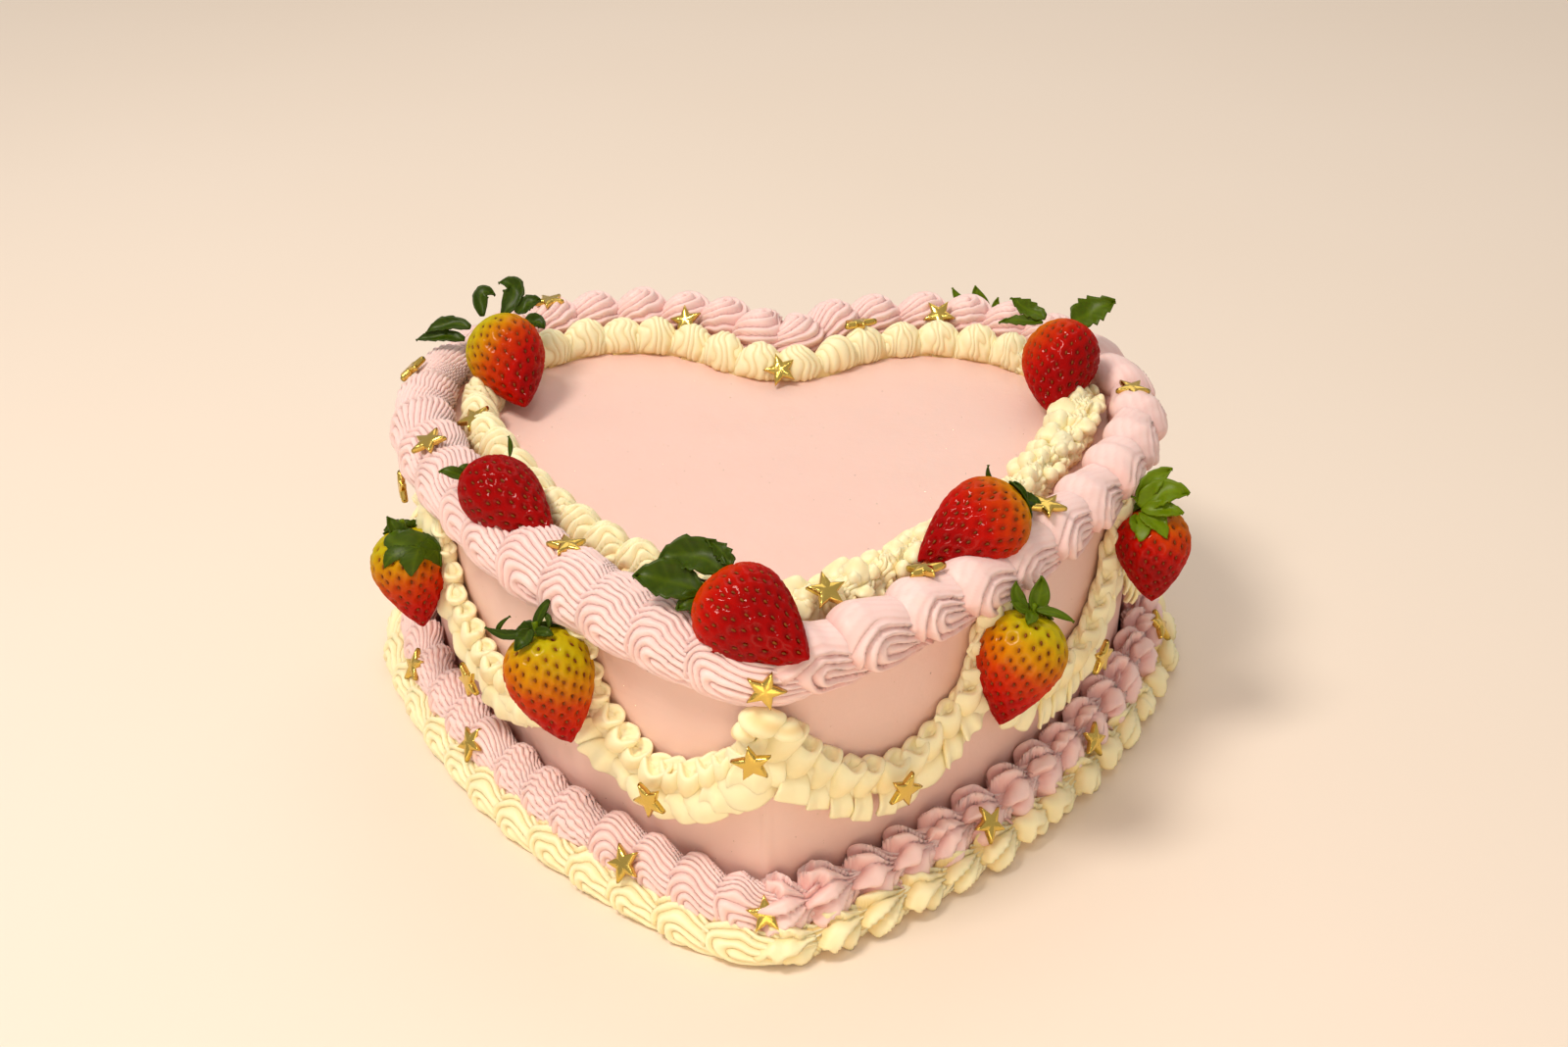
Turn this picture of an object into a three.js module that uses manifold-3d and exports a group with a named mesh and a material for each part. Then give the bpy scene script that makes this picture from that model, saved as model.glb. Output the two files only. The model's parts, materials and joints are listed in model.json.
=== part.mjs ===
// Heart shaped cake: a tall heart of sponge under smooth icing, with two piped borders round the top,
// two round the foot, piped ruffle swags on the side, whole strawberries and gold stars.
// Millimetres, +Z up. The tip of the heart points along -Y and the cleft along +Y.
// The origin lies on the flat underside, between the two lobes.

import * as THREE from 'three';
import { ParametricGeometry } from 'three/addons/geometries/ParametricGeometry.js';
import { mergeVertices } from 'three/addons/utils/BufferGeometryUtils.js';
import Module from 'manifold-3d';

const wasm = await Module();
wasm.setup();

// Plan of the iced heart: each half is a long side arc that runs on into a lobe arc
const LOBE_X = 52.2;
const LOBE_Y = 26.4;
const LOBE_RADIUS = 69;
const SIDE_RADIUS = 249.6;
const JOIN_ANGLE = THREE.MathUtils.degToRad(23.6);
const TIP_ROUND = 16;
const CLEFT_ROUND = 9;
const CAKE_HEIGHT = 90;
const WALL_FACES = [5, 12, 24, 6];

// Piped rings: number of shells in each half, and the oval of the section, in millimetres out from
// the wall and up from the level the ring lies on
const TOP_SHELLS = 19;
const FOOT_SHELLS = 26;
const STEPS = [0, 0.36, 0.78];
const SWELLS = [0.74, 0.95, 1.07];
const SHELL_UNEVEN = 0.07;
const RIDGE_UNEVEN = 0.5;
const PINK_TOP = { out: -3.3, up: CAKE_HEIGHT, wide: 11.4, high: 12 };
const CREAM_TOP = { out: -20.6, up: CAKE_HEIGHT, wide: 5.9, high: 9.6 };
const PINK_FOOT = { out: 5.4, up: 10, wide: 8.4, high: 10.5 };
const CREAM_FOOT = { out: 12.6, up: 3.4, wide: 6.8, high: 7.2 };
const TOP_SEAM = -15;
const HANG = 9.5;
const WALL_SLACK = 4;
const HANG_THICK = 2;
const CREAM_LIFT = 1.2;
const FOOT_EDGE = 0.8;
const FOOT_WALL = 1.5;
const FOOT_SEAM_IN = 4.2;
const FOOT_SEAM_OUT = 14;
const FOOT_SEAM_HIGH = 9.4;
const GROOVE = 0.55;
const VALLEY_GROOVE = 0.16;
const SLANT = 4;
const GAP = 0.35;
const TIP_GAP = 0.8;

// Swags: where neighbouring ones meet along each half, how high, and how far each hangs. A swag stops
// short of where it meets the next one, further where a strawberry covers its end
const JUNCTIONS = { left: [0, 67, 149, 222, 287, 356], right: [0, 77, 151, 222, 288, 356] };
const SWAG_CLEAR = [0.6, 7.4, 7.4, 0.6, 7.4, 1];
const JUNCTION_HEIGHT = 70;
const SWAG_DROP = [28, 32, 30, 30, 28];
const SWAG_ROWS = 17;
const SWAG_CURVE = 0.72;
const SWAG_END_SIZE = 0.84;
const SWAG_FACE = 8;

// Strawberries: crown and tip, each as distance along the half, out from the wall and height
const BERRY_RADIUS = 12.6;
const BERRY_SIDES = 9;
const BERRY_LEVELS = [0, 0.12, 0.34, 0.6, 0.82, 0.95, 1];
const BERRY_SHOULDER = 1.8;
const BERRY_FULL = 0.45;
const LEAVES = 5;
const LEAF_THICK = 0.9;
const LEAF_REACH = 1.02;
const LEAF_UNEVEN = 0.22;
const LEAF_OUTLINE = [[-0.5, 0.3], [-0.16, 0.8], [0.1, 1]];
const CROWN_FLAT = 0.3;
const CROWN_RISE = 3.4;
const CROWN_DROOP = 3;
const CROWN_SUNK = 1;
const BERRIES = {
  strawberry_top_back_left: { crown: [-97.5, 48, 112], tip: [-84.5, 18, 97], radius: 13.4, turn: 0.2 },
  strawberry_top_back_right: { crown: [97.5, 49, 112], tip: [90, 18, 97], radius: 13.4, turn: 2.6 },
  strawberry_top_side_left: { crown: [-91, -43, 107], tip: [-64.5, -66.5, 101], radius: 11.6, turn: 1.4 },
  strawberry_top_side_right: { crown: [72.5, -57, 108], tip: [42.5, -79.5, 101], radius: 12.6, turn: 0.9 },
  strawberry_top_front: { crown: [-16.5, -104.5, 107.5], tip: [11.5, -127.5, 101], radius: 13.2, turn: 1.1 },
  strawberry_side_front_left: { along: [-69, -59.5], out: [13.6, 12.6], height: [85, 49.5], turn: 0.4 },
  strawberry_side_front_right: { along: [81.5, 72], out: [13.6, 12.6], height: [87, 51.5], turn: 2.2 },
  strawberry_side_left: { along: [-152.5, -143], out: [13.6, 13.6], height: [75, 43], turn: 1.9 },
  strawberry_side_right: { along: [151.5, 148], out: [13.6, 18], height: [86, 55], turn: 0.1 },
  strawberry_back_left: { along: [-290, -284], out: [13.6, 12.6], height: [85, 50], turn: 1.2 },
  strawberry_back_right: { along: [285, 291], out: [13.6, 12.6], height: [86, 51], turn: 2.9 },
};

// Stars: distance along the half (left is negative), then the angle round the oval of the border
const STAR_RADIUS = 6.2;
const STAR_WAIST = 2.9;
const STAR_THICK = 4;
const STAR_LEVELS = [[0, 0], [1, 0.35], [0, 1]];
const STAR_SUNK = 2;
const STAR_STEP = 0.15;
const PINK_TOP_STARS = [[-273, 82], [-329, 138], [303, 130], [198, 92], [-210, 47], [-155, 68],
  [-76, 96], [58, 108], [108, 86], [0, 8]];
const CREAM_TOP_STARS = [[365, 150], [342, 62], [-170, 60], [27, 50]];
const FOOT_STARS = [[0, 30], [-39, 28], [-113, 30], [-160, 26], [69, 28], [122, 24], [186, 30],
  [262, 28], [-238, 26], [-322, 30]];
const SWAG_STARS = [[-2, 70], [-30, 44], [36, 47], [123, 47], [-112, 41], [-178, 74], [196, 50],
  [-258, 48], [326, 50]];

const COLOURS = {
  body: '#f2cfbd',
  pink: '#f1c3b8',
  cream: '#f6e2a8',
  berry: '#a8120a',
  star: '#c08d35',
};

const SIDE_X = LOBE_X - (SIDE_RADIUS - LOBE_RADIUS) * Math.cos(JOIN_ANGLE);
const SIDE_Y = LOBE_Y + (SIDE_RADIUS - LOBE_RADIUS) * Math.sin(JOIN_ANGLE);

/** A repeatable value from -1 to 1, which makes the piping as uneven as hand work is. */
function uneven(index, salt) {
  const raw = Math.sin(index * 12.9898 + salt * 78.233) * 43758.5453;
  return 2 * (raw - Math.floor(raw)) - 1;
}

/**
 * The outline of the heart, moved out by an offset, with its tip and its cleft rounded.
 * The distance runs from the tip to the cleft, and is negative on the left half.
 */
function heartOutline(offset, tipRound, cleftRound) {
  const sideRadius = SIDE_RADIUS + offset;
  const lobeRadius = LOBE_RADIUS + offset;
  const tipY = SIDE_Y - Math.sqrt((sideRadius - tipRound) ** 2 - SIDE_X ** 2);
  const cleftY = LOBE_Y + Math.sqrt((lobeRadius + cleftRound) ** 2 - LOBE_X ** 2);
  const tipEnd = Math.atan2(tipY - SIDE_Y, -SIDE_X);
  const lobeEnd = Math.atan2(cleftY - LOBE_Y, -LOBE_X);
  const arcs = [
    { x: 0, y: tipY, radius: tipRound, from: -Math.PI / 2, to: tipEnd, facing: 1 },
    { x: SIDE_X, y: SIDE_Y, radius: sideRadius, from: tipEnd, to: -JOIN_ANGLE, facing: 1 },
    { x: LOBE_X, y: LOBE_Y, radius: lobeRadius, from: -JOIN_ANGLE, to: lobeEnd, facing: 1 },
    { x: 0, y: cleftY, radius: cleftRound, from: lobeEnd + Math.PI, to: 1.5 * Math.PI, facing: -1 },
  ];
  const lengths = arcs.map((arc) => arc.radius * Math.abs(arc.to - arc.from));
  const half = lengths.reduce((sum, length) => sum + length, 0);

  function at(distance) {
    const wrapped = distance - 2 * half * Math.round(distance / (2 * half));
    const side = wrapped < 0 ? -1 : 1;
    let rest = Math.abs(wrapped);
    let number = 0;
    while (number < arcs.length - 1 && rest > lengths[number]) {
      rest -= lengths[number];
      number += 1;
    }
    const arc = arcs[number];
    const angle = arc.from + (Math.sign(arc.to - arc.from) * rest) / arc.radius;
    return {
      x: side * (arc.x + arc.radius * Math.cos(angle)),
      y: arc.y + arc.radius * Math.sin(angle),
      outX: side * arc.facing * Math.cos(angle),
      outY: arc.facing * Math.sin(angle),
      radius: arc.radius,
    };
  }
  return { offset, half, at, arcs };
}

const wall = heartOutline(0, TIP_ROUND, CLEFT_ROUND);

/** The point at a distance along an outline, a way out from the wall and a height. */
function placeOn(outline, distance, out, height) {
  const frame = outline.at(distance);
  const step = out - outline.offset;
  return new THREE.Vector3(frame.x + step * frame.outX, frame.y + step * frame.outY, height);
}

/** How far a point of the plan lies outside the wall. */
function outFromWall(x, y) {
  const ways = wall.arcs.map((arc) => {
    const angle = Math.atan2(y - arc.y, Math.abs(x) - arc.x);
    const [low, high] = [Math.min(arc.from, arc.to), Math.max(arc.from, arc.to)];
    const turned = angle < low - 1e-6 ? angle + 2 * Math.PI : angle;
    const covered = turned <= high + 1e-6;
    return covered ? arc.facing * (Math.hypot(Math.abs(x) - arc.x, y - arc.y) - arc.radius) : Infinity;
  });
  return ways.reduce((best, way) => (Math.abs(way) < Math.abs(best) ? way : best));
}

/** The point straight in from an outline where the icing meets the wall. */
function placeAgainstWall(outline, distance, height) {
  const gap = Math.abs(distance) < TIP_ROUND ? TIP_GAP : GAP;
  let [inner, outer] = [-outline.offset - CLEFT_ROUND, 30];
  while (outer - inner > 1e-4) {
    const middle = (inner + outer) / 2;
    const point = placeOn(outline, distance, middle, height);
    if (outFromWall(point.x, point.y) < gap) {
      inner = middle;
    } else {
      outer = middle;
    }
  }
  return placeOn(outline, distance, outer, height);
}

/** Six times the volume inside a list of corners, below zero if the faces point inwards. */
function signedVolume(position, corners) {
  const [a, b, c] = [new THREE.Vector3(), new THREE.Vector3(), new THREE.Vector3()];
  let sum = 0;
  for (let i = 0; i < corners.length; i += 3) {
    a.fromBufferAttribute(position, corners[i]);
    b.fromBufferAttribute(position, corners[i + 1]);
    c.fromBufferAttribute(position, corners[i + 2]);
    sum += a.dot(b.cross(c));
  }
  return sum;
}

/**
 * Turns a closed geometry into a solid for cutting and joining. Faces that have shrunk to nothing
 * are left out, and all faces are turned to point outwards.
 */
function toSolid(geometry) {
  const bare = geometry.index ? geometry.toNonIndexed() : geometry.clone();
  bare.deleteAttribute('normal');
  bare.deleteAttribute('uv');
  const merged = mergeVertices(bare, 1e-4);
  const corners = [];
  for (let i = 0; i < merged.index.count; i += 3) {
    const [a, b, c] = [0, 1, 2].map((k) => merged.index.getX(i + k));
    if (a !== b && b !== c && c !== a) {
      corners.push(a, b, c);
    }
  }
  if (signedVolume(merged.attributes.position, corners) < 0) {
    corners.reverse();
  }
  return new wasm.Manifold(new wasm.Mesh({
    numProp: 3,
    vertProperties: new Float32Array(merged.attributes.position.array),
    triVerts: new Uint32Array(corners),
  }));
}

/** The largest piece of a solid, once a cut has left loose scraps. */
function largest(solid) {
  const pieces = solid.decompose();
  return pieces.reduce((best, piece) => (piece.volume() > best.volume() ? piece : best));
}

/** A solid's surface as a geometry again. */
function toGeometry(solid) {
  const mesh = solid.getMesh();
  const geometry = new THREE.BufferGeometry();
  geometry.setAttribute('position', new THREE.BufferAttribute(new Float32Array(mesh.vertProperties), 3));
  geometry.setIndex(new THREE.BufferAttribute(new Uint32Array(mesh.triVerts), 1));
  geometry.computeVertexNormals();
  return geometry;
}

/** The heart of sponge and icing. */
function cakeBody() {
  const right = wall.arcs.flatMap((arc, number) => {
    const faces = WALL_FACES[number];
    return Array.from({ length: faces }, (_, i) => {
      const angle = arc.from + ((arc.to - arc.from) * i) / faces;
      return new THREE.Vector2(arc.x + arc.radius * Math.cos(angle), arc.y + arc.radius * Math.sin(angle));
    });
  });
  const cleft = wall.at(wall.half);
  const left = right.slice(1).reverse().map((point) => new THREE.Vector2(-point.x, point.y));
  const shape = new THREE.Shape([...right, new THREE.Vector2(0, cleft.y), ...left]);
  return toSolid(new THREE.ExtrudeGeometry(shape, { depth: CAKE_HEIGHT, bevelEnabled: false }));
}

/** Where the sections of a piped ring stand: each shell's heel, back and head, on both halves. */
function ringStations(outline, shells) {
  const pitch = outline.half / shells;
  const right = [];
  for (let shell = 0; shell < shells; shell += 1) {
    STEPS.forEach((step, kind) => right.push({ distance: (shell + step) * pitch, shell, kind }));
  }
  const cleft = { distance: outline.half, shell: shells, kind: 0 };
  const mirrored = (station) => ({ ...station, distance: -station.distance, shell: station.shell + shells });
  const left = right.slice(1).reverse().map(mirrored);
  return [...right, cleft, ...left];
}

/**
 * A piped ring: the section is a loop of points, and each shell swells it from heel to head.
 * Points with a slant lean along the ring, as the ridges of a shell do.
 */
function pipedRing(outline, shells, loop, salt) {
  const stations = ringStations(outline, shells);
  const surface = (u, v, target) => {
    const station = stations[Math.round(u * stations.length) % stations.length];
    const number = Math.round(v * loop.length) % loop.length;
    const swell = SWELLS[station.kind] + SHELL_UNEVEN * uneven(station.shell, salt);
    const point = loop[number](swell, station);
    const lean = Math.abs(station.distance) < 1 || station.distance === outline.half ? 0 : point.slant;
    const distance = station.distance + Math.sign(station.distance) * lean;
    const placed = point.out <= GAP && point.out > 0
      ? placeAgainstWall(outline, station.distance, point.height)
      : placeOn(outline, distance, point.out, point.height);
    target.copy(placed);
  };
  return toSolid(new ParametricGeometry(surface, stations.length, loop.length));
}

/** A point on the piped side of a section: an angle round the oval, grooved by the nozzle's teeth. */
function pipedPoint(oval, degrees, number, salt, settle) {
  const angle = THREE.MathUtils.degToRad(degrees);
  const side = number % 2 === 0 ? 1 : -1;
  return (swell, station) => {
    const tooth = side * (station.kind === 0 ? VALLEY_GROOVE : GROOVE);
    const bump = tooth + RIDGE_UNEVEN * uneven(station.shell * STEPS.length + station.kind, salt + number);
    const out = oval.out + (oval.wide * swell + bump) * Math.cos(angle);
    const height = oval.up + (oval.high * swell + bump) * Math.sin(angle);
    const slant = SLANT * Math.cos(angle);
    return settle({ out, height, slant });
  };
}

/** A point that lies against the cake, the floor or the next ring, and stays put. */
function seatPoint(out, height) {
  return () => ({ out, height, slant: 0 });
}

/** Evenly spread angles from one end of the piped side to the other. */
function spread(from, to, count) {
  return Array.from({ length: count }, (_, i) => from + ((to - from) * i) / (count - 1));
}

function pinkTopBorder() {
  const settle = ({ out, height, slant }) => ({
    out: Math.max(out, height < CAKE_HEIGHT - WALL_SLACK ? HANG_THICK : TOP_SEAM + GAP / 2),
    height,
    slant,
  });
  const loop = [
    seatPoint(GAP, CAKE_HEIGHT - HANG),
    seatPoint(GAP, CAKE_HEIGHT + GAP),
    seatPoint(TOP_SEAM + 2, CAKE_HEIGHT + GAP),
    ...spread(152, -40, 6).map((angle, i) => pipedPoint(PINK_TOP, angle, i, 11, settle)),
  ];
  const outline = heartOutline(-4, TIP_ROUND - 4, CLEFT_ROUND + 4);
  return pipedRing(outline, TOP_SHELLS, loop, 1);
}

function creamTopBorder() {
  const settle = ({ out, height, slant }) => ({
    out: Math.min(out, TOP_SEAM - GAP / 2),
    height: Math.max(height, CAKE_HEIGHT + CREAM_LIFT),
    slant: slant / 2,
  });
  const loop = [
    seatPoint(TOP_SEAM - 1, CAKE_HEIGHT + GAP),
    seatPoint(CREAM_TOP.out - 3.6, CAKE_HEIGHT + GAP),
    ...spread(160, 30, 4).map((angle, i) => pipedPoint(CREAM_TOP, angle, i, 23, settle)),
  ];
  const outline = heartOutline(-20, 7, CLEFT_ROUND + 20);
  return pipedRing(outline, TOP_SHELLS, loop, 2);
}

const footOutline = heartOutline(11, TIP_ROUND + 11, 11);

/** How high the sloping seam between the two foot rings is at a way out from the wall. */
function footSeam(out) {
  return (FOOT_SEAM_HIGH * (out - FOOT_SEAM_IN)) / (FOOT_SEAM_OUT - FOOT_SEAM_IN);
}

function pinkFootBorder() {
  const settle = ({ out, height, slant }) => ({
    out: out < FOOT_WALL ? GAP : out,
    height: Math.max(height, footSeam(out) + GAP),
    slant,
  });
  const loop = [
    seatPoint(FOOT_SEAM_IN - GAP, 0),
    seatPoint(GAP, 0),
    ...spread(124, 6, 5).map((angle, i) => pipedPoint(PINK_FOOT, angle, i, 37, settle)),
  ];
  return pipedRing(footOutline, FOOT_SHELLS, loop, 3);
}

function creamFootBorder() {
  const settle = ({ out, height, slant }) => ({
    out,
    height: Math.max(Math.min(height, footSeam(out) - GAP), FOOT_EDGE),
    slant,
  });
  const loop = [
    seatPoint(CREAM_FOOT.out + 4, 0),
    seatPoint(FOOT_SEAM_IN + GAP, 0),
    ...spread(60, -12, 3).map((angle, i) => pipedPoint(CREAM_FOOT, angle, i, 41, settle)),
  ];
  return pipedRing(footOutline, FOOT_SHELLS, loop, 4);
}

// Upright section of a swag, from its middle: a row of curled cups above, a pleated skirt below.
// The first two points lie against the wall, and the ruffles move the others
const SWAG_LOOP = [
  { up: 8.5, out: GAP, ruffle: 0 },
  { up: -9, out: GAP, ruffle: 0 },
  { up: -11.6, out: 5.2, ruffle: 1.7 },
  { up: -2.8, out: 6.2, ruffle: 0.9 },
  { up: -0.4, out: 10.6, ruffle: 1 },
  { up: 6, out: 11.4, ruffle: 1.3 },
  { up: 10.6, out: 6.6, ruffle: 1.3 },
];

/** One swag of ruffles hung between two junctions of the wall, closed by a flat face at each end. */
function swag(side, number) {
  const junctions = side < 0 ? JUNCTIONS.left : JUNCTIONS.right;
  const [first, last] = [junctions[number], junctions[number + 1]];
  const [from, to] = [first + SWAG_CLEAR[number], last - SWAG_CLEAR[number + 1]];
  const spacing = (to - from) / (SWAG_ROWS - 1);
  const surface = (u, v, target) => {
    const place = Math.round(u * (SWAG_ROWS + 1)) - 1;
    const row = THREE.MathUtils.clamp(place, 0, SWAG_ROWS - 1);
    const corner = SWAG_LOOP[Math.round(v * SWAG_LOOP.length) % SWAG_LOOP.length];
    const along = side * (from + row * spacing);
    const hang = Math.sin((Math.PI * (Math.abs(along) - first)) / (last - first));
    const middle = JUNCTION_HEIGHT - SWAG_DROP[number] * hang ** SWAG_CURVE;
    const size = SWAG_END_SIZE + (1 - SWAG_END_SIZE) * hang;
    const wave = corner.ruffle * ((row % 2 === 0 ? 1 : -1) + uneven(row, number + 5 * side)) * size;
    const seat = GAP + spacing ** 2 / (8 * wall.at(along).radius);
    const out = corner.ruffle === 0 ? seat : size * corner.out + wave / 2;
    const height = middle + size * corner.up + (Math.sign(corner.up) * wave) / 2;
    const closed = place === row;
    target.copy(placeOn(wall, along, closed ? out : SWAG_FACE / 2, closed ? height : middle));
  };
  return toSolid(new ParametricGeometry(surface, SWAG_ROWS + 1, SWAG_LOOP.length));
}

/** Crown and tip of a strawberry as points. */
function berryEnds(berry) {
  if (berry.crown) {
    return [new THREE.Vector3(...berry.crown), new THREE.Vector3(...berry.tip)];
  }
  return [0, 1].map((end) => placeOn(wall, berry.along[end], berry.out[end], berry.height[end]));
}

/** A strawberry's flesh along +Y, from its tip at the origin to its crown, grown by a margin. */
function berryFlesh(length, radius, margin) {
  const profile = BERRY_LEVELS.map((t) => {
    const girth = Math.sin(Math.PI * t ** BERRY_SHOULDER) ** BERRY_FULL;
    const across = t === 0 || t === 1 ? 0 : (radius + margin) * girth;
    return new THREE.Vector2(across, t * (length + 2 * margin) - margin);
  });
  return new THREE.LatheGeometry(profile, BERRY_SIDES);
}

/** The green crown: one thin wavy blade of pointed leaves, which rises and then bends over the shoulder. */
function berryCrown(radius, length, salt) {
  const spacing = (2 * Math.PI) / LEAVES;
  const outline = [];
  for (let leaf = 0; leaf < LEAVES; leaf += 1) {
    const reach = radius * (LEAF_REACH + LEAF_UNEVEN * uneven(leaf, salt));
    const middle = (leaf + LEAF_UNEVEN * uneven(leaf + LEAVES, salt)) * spacing;
    LEAF_OUTLINE.forEach(([aside, out]) => {
      const angle = middle + aside * spacing;
      outline.push(new THREE.Vector2(reach * out * Math.cos(angle), reach * out * Math.sin(angle)));
    });
  }
  const shape = new THREE.Shape(outline);
  const geometry = new THREE.ExtrudeGeometry(shape, { depth: LEAF_THICK, bevelEnabled: false });
  const position = geometry.attributes.position;
  for (let i = 0; i < position.count; i += 1) {
    const x = position.getX(i);
    const y = position.getY(i);
    const past = Math.max(Math.hypot(x, y) / radius - CROWN_FLAT, 0);
    const wave = 1 + 2 * LEAF_UNEVEN * uneven(Math.round(x + y), salt);
    const rise = wave * CROWN_RISE * Math.sin(0.9 * Math.PI * past) - CROWN_DROOP * past ** 2;
    position.setXYZ(i, x, length - CROWN_SUNK + position.getZ(i) + rise, -y);
  }
  return geometry;
}

/** Stands a geometry built along +Y between two points. */
function stand(geometry, from, to, turn) {
  const axis = new THREE.Vector3().subVectors(to, from).normalize();
  const aim = new THREE.Quaternion().setFromUnitVectors(new THREE.Vector3(0, 1, 0), axis);
  geometry.rotateY(turn);
  geometry.applyQuaternion(aim);
  geometry.translate(from.x, from.y, from.z);
  return geometry;
}

/** A strawberry's flesh as a solid, or a slightly larger one that cuts its bed in the icing. */
function berrySolid(berry, margin) {
  const [crown, tip] = berryEnds(berry);
  const flesh = berryFlesh(crown.distanceTo(tip), berry.radius ?? BERRY_RADIUS, margin);
  return toSolid(stand(flesh, tip, crown, berry.turn));
}

/** The green crown of one strawberry as a solid. */
function crownSolid(berry) {
  const [crown, tip] = berryEnds(berry);
  const leaves = berryCrown(berry.radius ?? BERRY_RADIUS, crown.distanceTo(tip), berry.turn);
  return toSolid(stand(leaves, tip, crown, berry.turn));
}

/** A gold star, a little domed, lying flat on its seat. */
function starGeometry() {
  const steps = STAR_LEVELS.length - 1;
  const surface = (u, v, target) => {
    const corner = Math.round(u * 10) % 10;
    const [scale, height] = STAR_LEVELS[Math.round(v * steps)];
    const radius = scale * (corner % 2 === 0 ? STAR_RADIUS : STAR_WAIST);
    const angle = (corner * Math.PI) / 5;
    target.set(radius * Math.sin(angle), radius * Math.cos(angle), height * STAR_THICK);
  };
  return new ParametricGeometry(surface, 10, steps);
}

/** A star seated at a point, facing a direction, with its arms turned by an angle. */
function seatedStar(point, facing, turn) {
  const geometry = starGeometry();
  geometry.rotateZ(turn);
  geometry.translate(0, 0, -STAR_SUNK);
  geometry.applyQuaternion(new THREE.Quaternion().setFromUnitVectors(new THREE.Vector3(0, 0, 1), facing));
  geometry.translate(point.x, point.y, point.z);
  return toSolid(geometry);
}

/** The point and direction at an angle round a border's oval. */
function borderSeat(outline, oval, distance, degrees) {
  const angle = THREE.MathUtils.degToRad(degrees);
  const out = oval.out + oval.wide * Math.cos(angle);
  const point = placeOn(outline, distance, out, oval.up + oval.high * Math.sin(angle));
  const centre = placeOn(outline, distance, oval.out, oval.up);
  return { point, facing: point.clone().sub(centre).normalize() };
}

/** A copy of a solid moved along a direction. */
function moved(solid, direction, distance) {
  return solid.translate([direction.x * distance, direction.y * distance, direction.z * distance]);
}

const cake = new THREE.Group();

function add(name, solid, material) {
  const mesh = new THREE.Mesh(toGeometry(solid), material.clone());
  mesh.name = name;
  cake.add(mesh);
}

const icing = (color) => new THREE.MeshStandardMaterial({ color, roughness: 0.5, metalness: 0 });
const bodyIcing = icing(COLOURS.body);
const pinkIcing = icing(COLOURS.pink);
const creamIcing = icing(COLOURS.cream);
const berrySkin = new THREE.MeshStandardMaterial({ color: COLOURS.berry, roughness: 0.25, metalness: 0 });
const goldLeaf = new THREE.MeshStandardMaterial({ color: COLOURS.star, roughness: 0.22, metalness: 1 });

const berries = Object.entries(BERRIES).map(([name, berry]) => ({
  name,
  berry,
  flesh: berrySolid(berry, 0),
  bed: berrySolid(berry, GAP),
}));

/** Icing with a bed pressed into it for each strawberry that lies in it. */
function withBeds(solid) {
  return largest(berries.reduce((rest, { bed }) => rest.subtract(bed), solid));
}

const body = withBeds(cakeBody());
const rings = {
  pink_top_border: withBeds(pinkTopBorder()),
  cream_top_border: withBeds(creamTopBorder()),
  pink_foot_border: withBeds(pinkFootBorder()),
  cream_foot_border: withBeds(creamFootBorder()),
};

add('cake_body', body, bodyIcing);
Object.entries(rings).forEach(([name, ring]) => {
  add(name, ring, name.startsWith('pink') ? pinkIcing : creamIcing);
});

const up = new THREE.Vector3(0, 0, 1);
const swags = [];
[-1, 1].forEach((side) => {
  SWAG_DROP.forEach((_, number) => {
    const clear = withBeds(swag(side, number).subtract(moved(rings.pink_top_border, up, -GAP)));
    swags.push(clear);
    add(`swag_${side < 0 ? 'left' : 'right'}_${number + 1}`, clear, creamIcing);
  });
});

/** The way a strawberry faces: off the top of the cake, or off its wall. */
function awayFromIcing(berry) {
  if (berry.crown) {
    return up;
  }
  const [foot, edge] = [0, 1].map((out) => placeOn(wall, berry.along[0], out, 0));
  return edge.sub(foot).add(up).normalize();
}

const icings = [body, ...Object.values(rings), ...swags];
berries.forEach(({ name, berry, flesh }) => {
  const away = awayFromIcing(berry);
  const crown = icings.reduce((rest, one) => rest.subtract(moved(one, away, GAP)), crownSolid(berry));
  add(name, largest(flesh.add(crown)), berrySkin);
});

/** Lays stars on the icing: each is raised along the way it faces until it just clears the ridges. */
function addStars(kind, places, seatOf) {
  places.forEach((place, number) => {
    const { point, facing } = seatOf(...place);
    const raised = icings.map((one) => moved(one, facing, GAP));
    let star = seatedStar(point, facing, 2 * uneven(number, kind.length));
    while (raised.some((one) => star.intersect(one).volume() > 0)) {
      star = moved(star, facing, STAR_STEP);
    }
    add(`star_${kind}_${String(number + 1).padStart(2, '0')}`, star, goldLeaf);
  });
}

addStars('border', PINK_TOP_STARS, (distance, angle) => borderSeat(wall, PINK_TOP, distance, angle));
addStars('rim', CREAM_TOP_STARS, (distance, angle) => borderSeat(wall, CREAM_TOP, distance, angle));
addStars('foot', FOOT_STARS, (distance, angle) => borderSeat(wall, PINK_FOOT, distance, angle));
addStars('swag', SWAG_STARS, (distance, height) => {
  const point = placeOn(wall, distance, SWAG_FACE, height);
  return { point, facing: point.clone().sub(placeOn(wall, distance, 0, height)).normalize() };
});

export default cake;
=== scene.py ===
"""Heart shaped cake: smooth icing, piped borders, ruffle swags, strawberries and gold stars.

Shapes are worked out in millimetres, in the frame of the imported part, and meshes are made in metres.
Borders and swags are laid out straight first: X is the distance along the outline of the heart, Y
points inwards and Z is the height. Geometry Nodes then bend each row round the outline.
"""

import functools
import json
import math

import bpy
import numpy as np
from mathutils import Matrix, Vector

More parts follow.
